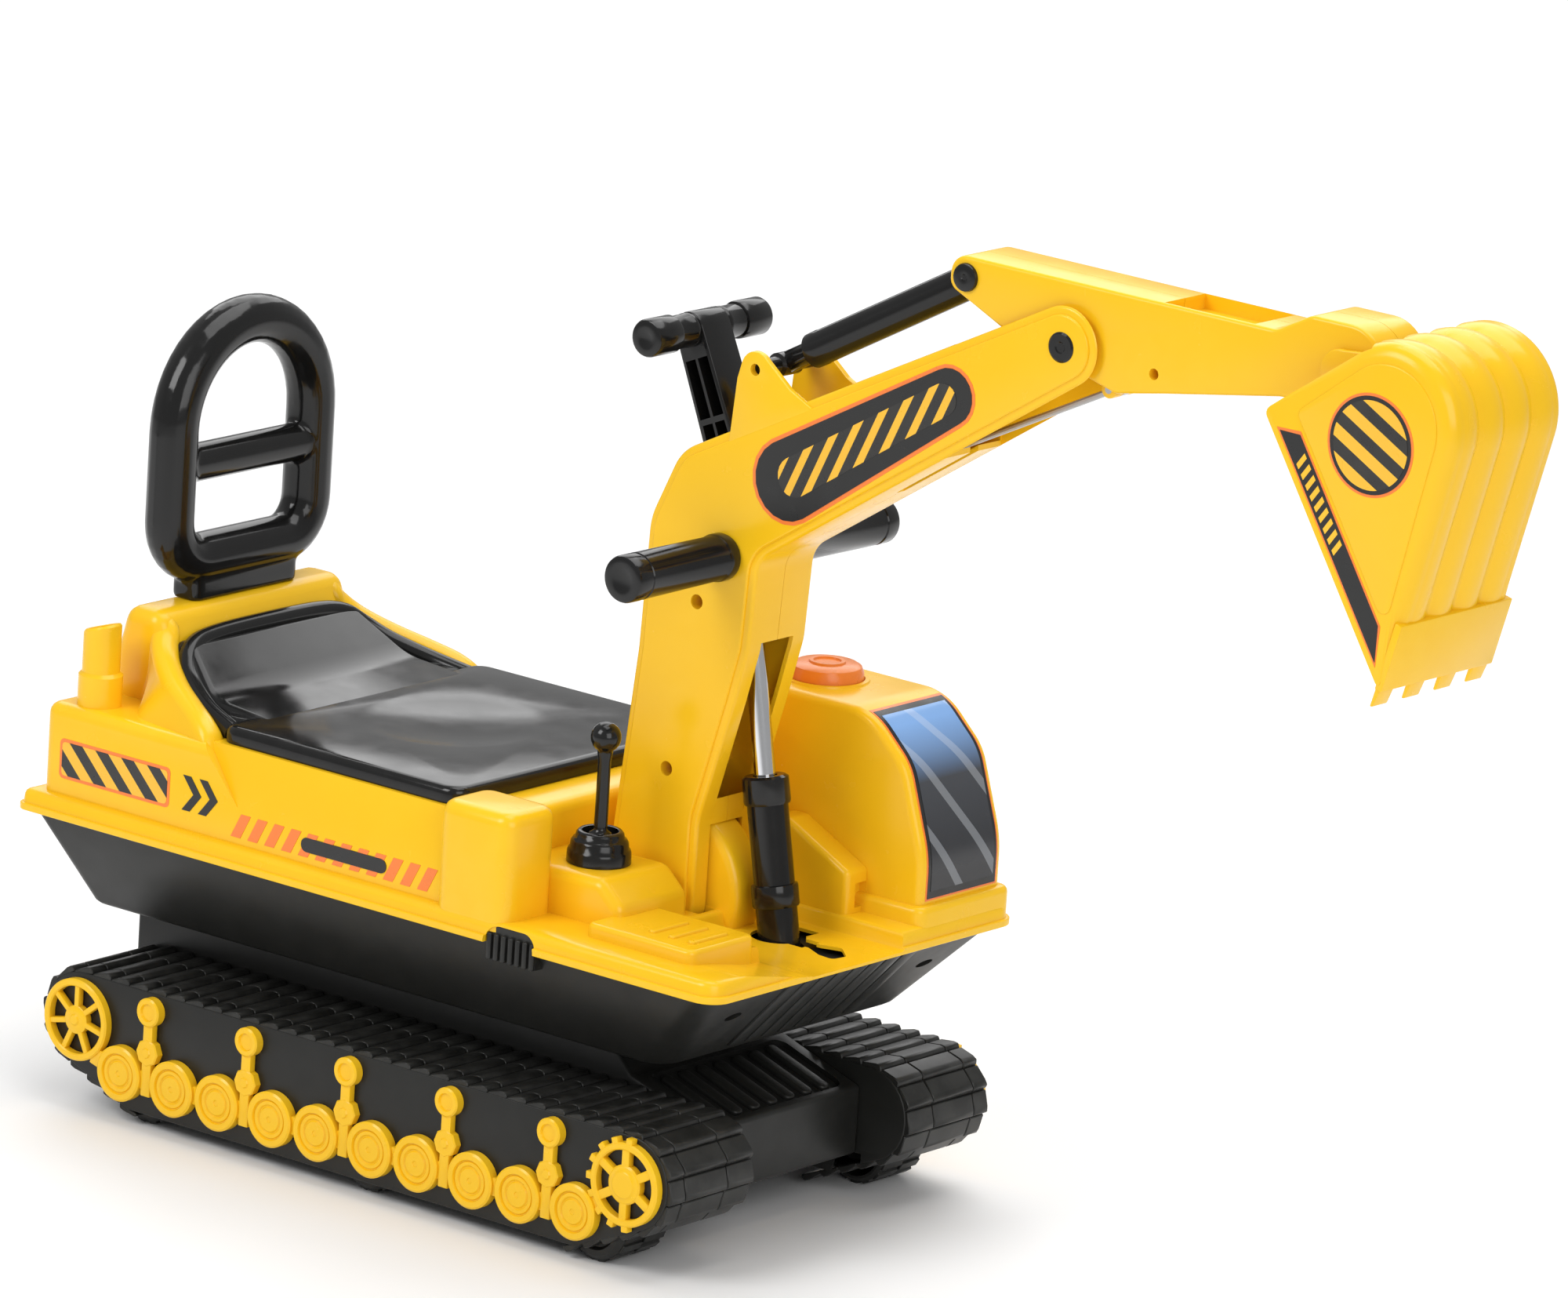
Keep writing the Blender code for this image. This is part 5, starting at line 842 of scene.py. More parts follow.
fender = cushion_block((0.063, 0.135), (0.118, 0.1755), (0.225, 0.314), 0.014, 0.010)
console_side = filleted([(0.090, 0.208, 0.0), (0.202, 0.208, 0.0), (0.200, 0.250, 0.012),
                         (0.180, 0.268, 0.014), (0.090, 0.268, 0.012)])
console = rounded_slab(console_side, -0.124, -0.042, 0.009, 0.009)
step_block = cushion_block((0.190, 0.292), (-0.151, -0.076), (0.2205, 0.2435), 0.008, 0.004)
ledge_side = filleted([(0.205, 0.212, 0.0), (0.278, 0.212, 0.0), (0.277, 0.2655, 0.006),
                       (0.218, 0.2945, 0.010), (0.200, 0.2945, 0.006)])
ledge = less(rounded_slab(ledge_side, 0.046, 0.0712, 0.003, 0.005),
             box((0.271, 0.29), (0.0560, 0.0690), (0.237, 0.2555)))
hood_base = cushion_block((0.205, 0.3335), (0.0640, 0.1750), (0.225, 0.2465), 0.010, 0.005)
FAIRING_RADIUS, FAIRING_HALF = 0.066, 0.0172
fairing_side = [(0.104, 0.210), (0.215, 0.210), *arc(LIFT, FAIRING_RADIUS, -8, 95, 24), (0.112, 0.296)]
fairing = rounded_slab(fairing_side, -FAIRING_HALF, FAIRING_HALF, 0.007, 0.007)
body_block = cushion_block((-0.336, 0.100), (-0.168, 0.168), (0.225, BODY_TOP), 0.012, 0.009)
lip_steps = [(LIP_LOW, 0.0004), (LIP_LOW + 0.0004, 0.0), (LIP_LOW + 0.0046, 0.0),
             (LIP_LOW + 0.0052, 0.0006), (LIP_LOW + 0.0054, 0.0026), (DECK - 0.0045, 0.0034),
             (DECK - 0.0022, 0.0044), (DECK - 0.0007, 0.0064), (DECK, 0.0090)]
lip = stack([(z, plan(LIP, LIP_CORNER, shrink)) for z, shrink in lip_steps])
shoulder = [(0.1535, 0.3035), (0.185, 0.3035), (0.185, 0.2600), (0.1682, 0.2600)]
shoulder_ends = [(-0.182, -0.168, -0.128, -0.1355), (0.0635, 0.0635, 0.0635, 0.0635)]
shoulder_cut = skinned([[(x, y, z) for x, (y, z) in zip(end, shoulder)] for end in shoulder_ends])
leg_slots = [box((0.104, 0.206), span, (0.20, 0.32)) for span in ((-0.0385, -0.0178), (0.0178, 0.0385))]
STRUT_HOLE, SLOT_NECK, THROUGH_DECK = (0.252, 0.0), 0.283, (0.19, 0.26)


def upright_hole(at, radius):
    """Round hole down through the deck."""
    return turned_up(cylinder(radius, 0.19, 0.27), at, 36)


fan = filleted([(0.276, -0.0075, 0.0), (0.286, -0.0065, 0.004), (0.303, -0.0155, 0.003),
                (0.317, -0.0170, 0.004), (0.319, -0.0030, 0.004), (0.303, 0.0120, 0.004),
                (0.286, 0.0065, 0.004), (0.276, 0.0075, 0.0)])
keyhole = [upright_hole(STRUT_HOLE, 0.0208),
           box((STRUT_HOLE[0], SLOT_NECK), (-0.0105, 0.0105), THROUGH_DECK),
           box((0.244, 0.266), (0.0, 0.031), THROUGH_DECK), stack([(z, fan) for z in THROUGH_DECK])]
pit_steps = [(PIT_FLOOR, -0.0040), (PIT_FLOOR + 0.0012, -0.0012), (PIT_FLOOR + 0.0040, 0.0),
             (DECK - 0.0030, 0.0010), (DECK - 0.0009, 0.0024), (DECK + 0.0002, 0.0050),
             (DECK + 0.0050, 0.0050)]
PIT_REAR, PIT_CORNER, PAST_LIP = 0.2135, 0.008, 0.352
pit = stack([(z, rounded_rectangle((PIT_REAR - grow, PAST_LIP), (PIT_Y[0] - grow, PIT_Y[1] + grow),
                                   PIT_CORNER + grow)) for z, grow in pit_steps])
FALL_Y, FALL_REAR, FALL_STEPS = (-0.160, -0.052), 0.2895, 16
fall = [(FALL_Y[0] + (FALL_Y[1] - FALL_Y[0]) * i / FALL_STEPS,
         PIT_FLOOR + 0.0002 + (DECK - PIT_FLOOR) * (1 + cos(pi * i / FALL_STEPS)) / 2)
        for i in range(FALL_STEPS + 1)]
fall += [(FALL_Y[1], 0.25), (FALL_Y[0], 0.25)]
front_fall = skinned([[(x, y, z) for y, z in fall] for x in (FALL_REAR, PAST_LIP)])
TUB_ROOM = (0.19, 0.2285)
tub_rooms = [box(x, y, TUB_ROOM) for x, y in (
    ((-0.320, 0.205), (-0.160, 0.160)), ((0.200, 0.285), (-0.160, PIT_Y[0] - 0.005)),
    ((0.200, 0.310), (PIT_Y[1] + 0.005, 0.160)))]
CLIP_X, CLIP_LOW, CLIP_TOP, CLIP_RIBS = (0.118, 0.166), 0.204, 0.2305, 7
clip_arch = filleted([(CLIP_X[0], CLIP_LOW, 0.0), (CLIP_X[1], CLIP_LOW, 0.0), (CLIP_X[1], CLIP_TOP, 0.012),
                      (CLIP_X[0], CLIP_TOP, 0.012)])
deck = less(lip, *tub_rooms, pit, front_fall, slab(clip_arch, -0.19, -0.1665), *leg_slots, *keyhole)
seat_block = less(body_block, shoulder_cut, mirrored(shoulder_cut), *leg_slots)
shell = joined([deck, seat_block, hump, arm, mirrored(arm), exhaust, fender, mirrored(fender), console,
                step_block, ledge, hood_base, fairing])
piece("upper_shell_moulding", shell, "upper_body", yellow_plastic, "upper_shell")
step_rib = cushion_block((0.2375, 0.2435), (-0.136, -0.094), (0.2415, 0.2457), 0.0028, 0.0016)
STEP_RIBS, STEP_RIB_PITCH = 3, 0.0185
step_ribs = row(step_rib, STEP_RIBS, yellow_plastic, (STEP_RIB_PITCH, 0.0, 0.0))
piece("step_ribs", step_ribs, "upper_body", yellow_plastic)
slot_floor = box((0.216, 0.313), (-0.034, 0.038), (0.2085, 0.2125))
slot_floor = less(slot_floor, upright_hole(STRUT_HOLE, 0.0195))
piece("slot_floor", slot_floor, "upper_body", dark_plastic)
clip_rib = bevelled(box((CLIP_X[0] + 0.0012, CLIP_X[0] + 0.0056), (-0.1775, -0.166),
                        (CLIP_LOW, CLIP_TOP - 0.006)), 0.0014, 3)
clip_pitch = (CLIP_X[1] - CLIP_X[0] - 0.0068) / (CLIP_RIBS - 1)
clip_ribs = row(clip_rib, CLIP_RIBS, dark_plastic, (clip_pitch, 0.0, 0.0))
clip_back = slab(inset(clip_arch, 0.0006), -0.1745, -0.160)
piece("lower_shell_clip", joined([clip_back, clip_ribs]), "upper_body", dark_plastic)

# Seat: a thin glossy black pan on the body, dished for sitting, whose rear edge rises as a fat rim inside
# the hump's arms. It clips into the body along its edge.
black_gloss = plastic("gloss_black_plastic", (0.0065, 0.0065, 0.0065), (0.04, 0.04, 0.04), 0.14, shade=0.2,
                      grain=500.0, relief=0.03, rubbed=0.2, dusty=0.012, shine=0.40)
SEAT_LOW, SEAT_TOP, TONGUE_TAPER = 0.3024, 0.315, 5.0


def pipe(points, radius, ring=False):
    """Round tube along a line of points."""
    curve = bpy.data.curves.new("pipe", "CURVE")
    curve.dimensions = "3D"
    curve.bevel_depth = radius
    curve.bevel_resolution = 6
    curve.use_fill_caps = not ring
    spline = curve.splines.new("POLY")
    spline.points.add(len(points) - 1)
    spline.use_cyclic_u = ring
    for point, place in zip(spline.points, points):
        point.co = (*place, 1.0)
    work = bmesh.new()
    work.from_mesh(as_mesh(placed("pipe", curve)))
    return closed(work)


def ball(radius, height, turns):
    """Profile of a ball, at turns from its top in degrees."""
    return [(radius * sin(radians(a)), height + radius * cos(radians(a))) for a in turns]


seat_pan = cushion_block((-0.176, 0.0615), (-0.150, 0.150), (SEAT_LOW, SEAT_TOP), 0.016, 0.006)
seat_rear = cushion_block((-0.262, -0.150), (-0.128, 0.128), (SEAT_LOW, SEAT_TOP - 0.0004), 0.030, 0.006)
seat_tongue = filleted([(-0.2720, SEAT_LOW, 0.0), (-0.150, SEAT_LOW, 0.0), (-0.150, SEAT_TOP - 0.001, 0.0),
                        (-0.214, SEAT_TOP + 0.005, 0.05), (-0.2550, 0.350, 0.008), (-0.2720, 0.352, 0.007)])
rim_line = [(-0.172, 0.1360, 0.3065), (-0.206, 0.1265, 0.3145), (-0.236, 0.1125, 0.3255),
            (-0.2530, 0.100, 0.3370), (-0.2610, 0.086, 0.3465), (-0.2640, 0.060, 0.3510),
            (-0.2645, 0.0, 0.3520)]
rim_line += [(x, -y, z) for x, y, z in reversed(rim_line[:-1])]
seat_rim = pipe([tuple(point) for point in smoothed(rim_line)], 0.0078)
dish = turned_up([(0.0, 1.0), *ball(1.0, 0.0, range(10, 180, 10)), (0.0, -1.0)], (0.0, 0.0), 48)
dish.transform(Matrix.Translation((-0.070, 0.0, 0.336)) @ Matrix.Diagonal((0.125, 0.135, 0.026, 1.0)))
tongue = rounded_slab(seat_tongue, -0.116, 0.116, 0.006, 0.006)
for vertex in tongue.vertices:
    vertex.co.y *= 1.0 - TONGUE_TAPER * max(vertex.co.z - SEAT_TOP, 0.0)
seat = joined([less(seat_pan, dish), seat_rear, tongue, seat_rim])
piece("seat_pan", seat, "upper_body", black_gloss, "seat")


# Backrest: a fat round glossy black loop with a middle bar, blow moulded in one piece on a wide foot that
# plugs into the top of the hump.
def fused(solids, voxel, ease):
    """One moulding from overlapping solids, its corners eased as a blow mould leaves them."""
    return worked(joined(solids), ("REMESH", {"mode": "VOXEL", "voxel_size": voxel}),
                  ("SMOOTH", {"factor": 0.5, "iterations": ease}), ("DECIMATE", {"ratio": 0.5}))


BACK_X, BACK_TUBE, BACK_HALF, BACK_BEND = -0.298, 0.019, 0.078, 0.032
loop = arc((0.0, 0.505), BACK_HALF, 0, 180, 24)
loop += arc((BACK_BEND - BACK_HALF, 0.435), BACK_BEND, 180, 270, 8)
loop += arc((BACK_HALF - BACK_BEND, 0.435), BACK_BEND, 270, 360, 8)
foot = cushion_block((BACK_X - 0.0135, BACK_X + 0.0135), (-0.060, 0.060), (0.3724, 0.412), 0.008, 0.001)
backrest = fused([pipe([(BACK_X, y, z) for y, z in loop], BACK_TUBE, True), foot,
                  pipe([(BACK_X, -BACK_HALF, 0.478), (BACK_X, BACK_HALF, 0.478)], 0.015)], 0.0019, 7)
piece("backrest_loop", backrest, "upper_body", black_gloss, "backrest", crease=80)

# Cab hood: a hollow yellow moulding at the front left of the deck, quarter round in front, with a windscreen
# sticker on its curve and a round well for the horn button in its top.
HOOD_X, HOOD_Y, HOOD_LOW, HOOD_TOP, HOOD_WALL = (0.140, 0.327), (0.070, 0.168), 0.2333, 0.384, 0.0035
BUTTON = (0.188, 0.119)
BUTTON_RADIUS = 0.0285
hood_corners = [(HOOD_X[0], 0.200, 0.0), (HOOD_X[1], 0.200, 0.0), (HOOD_X[1], 0.2833, 0.09),
                (0.305, 0.349, 0.045), (0.267, HOOD_TOP, 0.050), (HOOD_X[0], HOOD_TOP, 0.012)]
hood_side = filleted(hood_corners, 12)
well = turned_up(cylinder(BUTTON_RADIUS + 0.0006, 0.37, 0.40), BUTTON, 56)
collar = turned_up([(BUTTON_RADIUS + 0.0008, HOOD_TOP + 0.0016),
                    (BUTTON_RADIUS + 0.0040, HOOD_TOP + 0.0014), (BUTTON_RADIUS + 0.0056, HOOD_TOP - 0.002),
                    (BUTTON_RADIUS + 0.0008, HOOD_TOP - 0.003)], BUTTON, 56, bored=True)
hood = rounded_slab(hood_side, *HOOD_Y, 0.0065, 0.0065, 5)
for vertex in hood.vertices:
    vertex.co.z = max(vertex.co.z, HOOD_LOW)
hood = less(hood, slab(inset(hood_side, HOOD_WALL), HOOD_Y[0] + HOOD_WALL, HOOD_Y[1] - HOOD_WALL), well)
piece("cab_hood_moulding", joined([hood, collar]), "upper_body", yellow_plastic, "cab_hood")


def painted(name, gloss):
    """Printed sticker film: its material, tree, shader, place and scuffs, with the colour still to come."""
    made, tree, shader = new_material(name)
    place = places(tree)
    scuffs = noise(tree, place, 60.0, 4.0)
    fill(tree, shader, {"Roughness": spread(tree, scuffs, 0.3, 0.7, gloss * 0.8, gloss * 1.35),
                        "Normal": bumped(tree, 0.03, 0.0003, scuffs)})
    return made, tree, shader, place, scuffs


def film(name, colour):
    """Sticker film of one printed colour, a little uneven."""
    made, tree, shader, place, scuffs = painted(name, 0.3)
    paler = tuple(min(c * 1.12 + 0.004, 1.0) for c in colour)
    fill(tree, shader, {"Base Color": blended(tree, scuffs, (*colour, 1.0), (*paler, 1.0))})
    return made


def along(tree, place, way):
    """Distance along a direction, for a printed pattern."""
    return add(tree, "ShaderNodeVectorMath", {0: place, 1: way}, operation="DOT_PRODUCT").outputs["Value"]


orange_film = film("orange_film", (0.86, 0.20, 0.03))
BLACK_INK = (0.010, 0.010, 0.010)
black_film = film("black_film", BLACK_INK)


def glass_film():
    """Windscreen print: pale sky at the top falling to a dark cab below, with slanting reflections."""
    made, tree, shader, place, scuffs = painted("windscreen_film", 0.16)
    height = along(tree, place, (0.0, 0.0, 1.0))
    sky = blended(tree, spread(tree, height, 0.335, 0.372, 0.0, 1.0), (0.055, 0.06, 0.07, 1.0),
                  (0.22, 0.42, 0.80, 1.0))
    dusk = blended(tree, spread(tree, height, 0.262, 0.335, 0.0, 1.0), (0.018, 0.018, 0.020, 1.0), sky)
    wave = maths(tree, "FRACT", along(tree, place, (0.0, 22.0, 17.0)))
    glare = maths(tree, "GREATER_THAN", wave, 0.80)
    fill(tree, shader, {"Base Color": blended(tree, product(tree, glare, 0.20), dusk,
                                              (0.75, 0.80, 0.86, 1.0))})
    return made


HOOD_BEND, SKIN_ROOT = 0.24, 0.002
hood_front = sorted((Vector(p) for p in hood_side if p[0] > HOOD_BEND), key=lambda p: p.y)


def hood_skin(low, top, side, out):
    """Sticker bent over the hood's front curve, between two heights and two Y planes."""
    ends = []
    for height in (low, top):
        below = max((p for p in hood_front if p.y <= height), key=lambda p: p.y)
        above = min((p for p in hood_front if p.y > height), key=lambda p: p.y)
        ends.append(below.lerp(above, (height - below.y) / (above.y - below.y)))
    ridge = [ends[0], *[p for p in hood_front if low < p.y < top], ends[1]]
    normals = []
    for i in range(len(ridge)):
        run = ridge[min(i + 1, len(ridge) - 1)] - ridge[max(i - 1, 0)]
        normals.append(-left_of(run).normalized())
    outer = [tuple(p + n * out) for p, n in zip(ridge, normals)]
    inner = [tuple(p - n * SKIN_ROOT) for p, n in zip(ridge, normals)]
    return slab(outer + inner[::-1], *side)


for name, low, top, side, out, finish in (
        ("windscreen_edge", 0.2490, 0.3815, (0.0768, 0.1612), 0.0003, orange_film),
        ("windscreen_frame", 0.2505, 0.3805, (0.0785, 0.1595), 0.0006, black_film),
        ("windscreen", 0.2560, 0.3780, (0.0818, 0.1562), 0.0009, glass_film())):
    piece(name, hood_skin(low, top, side, out), "upper_body", finish, slotted=False)

# Horn button: an orange cap with a raised ring on its flat top, sprung in the hood's well. The dark sound
# box hangs under it inside the hood and shows as the frame has it.
orange_plastic = plastic("orange_plastic", (0.86, 0.24, 0.030), (0.95, 0.42, 0.12), 0.26, shade=0.04,
                         grain=420.0, relief=0.02, rubbed=0.2, dusty=0.0, shine=0.45)
cap = turned_up([(0.0, 0.3966), (0.0098, 0.3966), (0.0106, 0.3980), (0.0134, 0.3980), (0.0142, 0.3966),
                 (0.0232, 0.3962), (0.0262, 0.3945), (0.0280, 0.3905), (BUTTON_RADIUS, 0.384),
                 (BUTTON_RADIUS, 0.3802), (0.0320, 0.3802), (0.0320, 0.3767), (0.0, 0.3767)], BUTTON, 56)
piece("horn_button_cap", cap, "button", orange_plastic, "horn_button")
carried_over(dark_plastic, "sound_box")

# Joystick: a glossy black knob and shaft on a ball, moulded in one piece, in a stepped black boot that is
# screwed to the console.
JOYSTICK = (0.146, -0.085)
boot = turned_up([(0.0138, 0.2920), (0.0160, 0.2924), (0.0178, 0.2905), (0.0185, 0.2868), (0.0200, 0.2862),
                  (0.0216, 0.2838), (0.0221, 0.2790), (0.0233, 0.2782), (0.0240, 0.2760), (0.0242, 0.2684),
                  (0.0138, 0.2684)], JOYSTICK, 48, bored=True)
piece("joystick_boot", boot, "upper_body", black_gloss, "joystick_socket", crease=60)
knob = ball(0.0115, 0.363, range(15, 151, 15))
pivot = ball(0.0125, 0.2812, range(25, 180, 15))
lever_arm = turned_up([(0.0, 0.3745), *knob, (0.0058, 0.3515), (0.0048, 0.345), (0.0052, 0.2945), *pivot,
                       (0.0, 0.2687)], JOYSTICK, 32)
piece("joystick_lever", lever_arm, "control_stick", black_gloss, "joystick", crease=60)

# Boom: gooseneck column and boom in two hollow yellow halves, screwed together along the middle plane. Each
# half has a raised field on its side and an ear for the link rod, and the fork at the elbow takes the stick.
BOOM_HALF, BOOM_RIM, BOOM_WALL, SEAM = 0.036, 0.0338, 0.0035, 0.0002
PAST_SEAM, PAST_SIDE = -0.01, 0.06
ELBOW, LEVER, LINK_FOOT, HANDLEBAR = (0.502, 0.719), (0.190, 0.560), (0.225, 0.649), (0.206, 0.505)
SCREWS = ((0.184, 0.466), (0.165, 0.335))
elbow_arc = arc(ELBOW, 0.030, 116.74, -57.2, 20)
column = [(0.237, 0.508, 0.024), (0.233, 0.438, 0.05), (0.222, 0.394, 0.06), (0.196, 0.300, 0.05),
          (0.196, 0.206, 0.030), (0.120, 0.206, 0.030), (0.115, 0.280, 0.03), (0.129, 0.420, 0.06),
          (0.133, 0.520, 0.05), (0.158, 0.575, 0.04)]
boom_side = elbow_arc + filleted([(*elbow_arc[-1], 0.0), *column, (*elbow_arc[0], 0.0)], 8)[1:-1]


def turned_across(profile, point, steps, bored=False):
    """Turned shape lying across the machine through an (x, z) point."""
    return lathe(profile, mid_plane(point), OUTWARD, steps, bored)


def bar(point, radius, low, high, steps=32):
    """Round bar across the machine through an (x, z) point."""
    return turned_across(cylinder(radius, low, high), point, steps)


def both_ends(profile, point, steps):
    """Turned shape with a like end on either side of the machine."""
    end = turned_across(profile, point, steps)
    return joined([end, mirrored(end)])


def sharp(points):
    """Corners of an outline that are left unrounded."""
    return [(x, z, 0.0) for x, z in points]


ear = filleted([(0.204, 0.588, 0.0), (0.2085, 0.640, 0.0), *sharp(arc(LINK_FOOT, 0.0135, 165, 40, 12)),
                (0.258, 0.640, 0.012), (0.284, 0.628, 0.0)])
fork = box((0.403, 0.57), (PAST_SEAM, 0.0321), (0.6, 0.8))
side_holes = [bar(HANDLEBAR, 0.0116, PAST_SEAM, PAST_SIDE),
              *[bar(spot, 0.0056, 0.020, PAST_SIDE, 24) for spot in SCREWS]]
boom_room = slab(inset(boom_side, BOOM_WALL), PAST_SEAM, 0.0303)
rod_slot = box((0.338, 0.407), (PAST_SEAM, 0.0047), (0.56, 0.65))
lever_slot = box((0.148, 0.214), (PAST_SEAM, 0.0182), (0.568, 0.62))
strut_slot = box((0.1965, 0.2705), (PAST_SEAM, 0.0185), (0.240, 0.442))
fairing_room = slab([LIFT, *arc(LIFT, FAIRING_RADIUS + 0.0015, -22, 110, 24)], PAST_SEAM, 0.0186)
boom_rim = less(rounded_slab(boom_side, SEAM, BOOM_RIM, 0.0030), boom_room, fork, rod_slot, lever_slot,
                strut_slot, fairing_room, *side_holes)
boom_field = less(rounded_slab(inset(boom_side, 0.0062), 0.0327, BOOM_HALF, 0.0016), *side_holes)
boom_ear = less(bevelled(slab(ear, 0.0304, 0.0358), 0.0010, 2), bar(LINK_FOOT, 0.0045, 0.0, PAST_SIDE, 24))
boss = [(0.0085, 0.0305), (0.0085, SEAM), (0.0030, SEAM), (0.0030, 0.0215), (0.0057, 0.0215),
        (0.0057, 0.0305)]
boom_bosses = [turned_across(boss, spot, 24, bored=True) for spot in SCREWS]
boom_left = joined([boom_rim, boom_field, boom_ear, *boom_bosses])
both_sides("boom_{}_half", boom_left, "boom", yellow_plastic, "boom_{}")


# Boom stickers: a long printed band on each side of the boom, black on an orange ground with slanting
# stripes and a round end at either side.
def stripes(name, way, share, centre=(0.0, 0.0)):
    """Sticker film with slanting yellow and black stripes pitched along a way, a black one on the centre."""
    made, tree, shader, place, scuffs = painted(name, 0.28)
    start = 0.5 + share / 2 - (centre[0] + SWIVEL_X) * way[0] - centre[1] * way[2]
    wave = maths(tree, "FRACT", maths(tree, "ADD", along(tree, place, way), start))
    ground = blended(tree, maths(tree, "GREATER_THAN", wave, share), (*YELLOW_INK, 1.0), (*BLACK_INK, 1.0))
    fill(tree, shader, {"Base Color": blended(tree, product(tree, scuffs, 0.06), ground,
                                              (0.5, 0.45, 0.38, 1.0))})
    return made


def band(start, end, width, taper):
    """Round-ended (x, z) outline of a band from one point to another."""
    first, last = Vector(start), Vector(end)
    turn = atan2(last.y - first.y, last.x - first.x) * 180 / pi
    return arc(first, width, turn + 90, turn + 270, 10) + arc(last, width * taper, turn - 90, turn + 90, 10)


def stuck(name, outline, side, face, out, body, finish, count=1, step=(0.0, 0.0, 0.0)):
    """Sticker, or a row of them, on one side, from just under a face to a height above it."""
    sign = 1 if side == "left" else -1
    mesh = slab(outline, *sorted((sign * (face - STICKER_ROOT), sign * (face + out))))
    if count > 1:
        mesh = row(mesh, count, finish, step)
    piece(name, mesh, body, finish, slotted=False)


STICKER_ROOT, YELLOW_INK = 0.0005, (0.92, 0.50, 0.02)
boom_stripes = stripes("boom_stripes", (62.0, 0.0, -28.0), 0.42)
BAND_START, BAND_END = (0.262, 0.573), (0.405, 0.664)
for side in ("right", "left"):
    for name, outline, out, finish in (
            ("ground", band(BAND_START, BAND_END, 0.0330, 0.72), 0.0003, orange_film),
            ("panel", band(BAND_START, BAND_END, 0.0300, 0.70), 0.0006, black_film),
            ("stripes", band((0.268, 0.577), (0.400, 0.661), 0.0150, 0.8), 0.0009, boom_stripes)):
        stuck(f"boom_band_{side}_{name}", outline, side, BOOM_HALF, out, "boom", finish)

# Pins and closing screws: plain zinc-plated steel. The lever's pin ends inside the boom's walls, the elbow
# pin is covered by black snap caps, and the screws sit at the bottom of deep holes.
carried_over(zinc_steel, "lift_pin", "push_rod_pin_rear", "push_rod_pin_front")
piece("lever_pin_shaft", bar(LEVER, 0.0030, -0.0302, 0.0302, 24), "boom", zinc_steel, "lever_pin")
screw = [(0.0, 0.0226), (0.0016, 0.0226), (0.0022, 0.0238), (0.0042, 0.0234), (0.0050, 0.0222),
         (0.0050, 0.0216), (0.0025, 0.0216), (0.0025, 0.0), (0.0, 0.0)]
for place, spot in zip(("upper", "lower"), SCREWS):
    piece(f"closing_screw_{place}", both_ends(screw, spot, 24), "boom", zinc_steel, f"column_screw_{place}")
elbow_cap = [(0.0, 0.0366), (0.0035, 0.0366), (0.0045, 0.0374), (0.0098, 0.0374), (0.0112, 0.0364),
             (0.0112, 0.0352), (0.0060, 0.0352), (0.0060, 0.0), (0.0, 0.0)]
piece("elbow_pin_caps", both_ends(elbow_cap, ELBOW, 36), "boom", black_gloss, "elbow_pin")

# Handlebar: a steel tube through the column with a black grip on each end. A grip has a collar against the
# column, a smooth hand part and a flat end with a groove round it.
carried_over(zinc_steel, "handlebar_tube")
grip = [(0.0, 0.1508), (0.0080, 0.1508), (0.0090, 0.1512), (0.0156, 0.1512), (0.0170, 0.1506),
        (0.0177, 0.1490), (0.0178, 0.1378), (0.0170, 0.1370), (0.0170, 0.1352), (0.0177, 0.1344),
        (0.0168, 0.0480), (0.0176, 0.0468), (0.0180, 0.0450), (0.0180, 0.0385), (0.0172, 0.0364),
        (0.0113, 0.0364), (0.0113, 0.1465), (0.0, 0.1465)]
both_sides("grip_{}_sleeve", turned_across(grip, HANDLEBAR, 48), "boom", black_gloss, "grip_{}")

# Strut: a chrome rod that slides in a black sleeve with two collars, from a pivot under the deck to the
# front of the column.
chrome = metal("chrome", (0.80, 0.81, 0.83), 0.09, 0.03)
STRUT_FOOT, STRUT_HEAD = Vector((0.252, 0.222)), Vector((0.2105, 0.440))
strut_line = STRUT_HEAD - STRUT_FOOT
strut_at, strut_way = mid_plane(STRUT_FOOT), mid_plane(strut_line)
sleeve = [(0.0092, 0.1180), (0.0150, 0.1182), (0.0175, 0.1165), (0.0177, 0.0990), (0.0170, 0.0970),
          (0.0155, 0.0966), (0.0153, 0.0372), (0.0172, 0.0366), (0.0177, 0.0350), (0.0177, 0.0212),
          (0.0170, 0.0200), (0.0155, 0.0196), (0.0155, -0.0100), (0.0, -0.0100), (0.0, -0.0008),
          (0.0092, -0.0008)]
piece("strut_sleeve_turned", lathe(sleeve, strut_at, strut_way, 44, bored=True), "strut_outer", black_gloss,
      "strut_sleeve")
rod = [(0.0, 0.2219), (0.0048, 0.2219), (0.0080, 0.2187), (0.0080, 0.0302), (0.0, 0.0302)]
piece("strut_rod_polished", lathe(rod, strut_at, strut_way, 40), "strut_inner", chrome, "strut_rod")


# T-lever: a black ribbed bell crank pivoted in the boom's shoulder, open on both sides, with a round T-bar
# through its head for the hand.
def tapered(points, radii):
    """Outline round a bent strap, with a width at each of its three points."""
    first, middle, last = (Vector(p) for p in points)
    upper, lower = left_of((middle - first).normalized()), left_of((last - middle).normalized())
    bend = (upper + lower).normalized()
    head = atan2(upper.y, upper.x) * 180 / pi
    tail = atan2(lower.y, lower.x) * 180 / pi
    return [*arc(first, radii[0], head, head + 180, 10), tuple(middle - bend * radii[1]),
            *arc(last, radii[2], tail - 180, tail, 10), tuple(middle + bend * radii[1])]


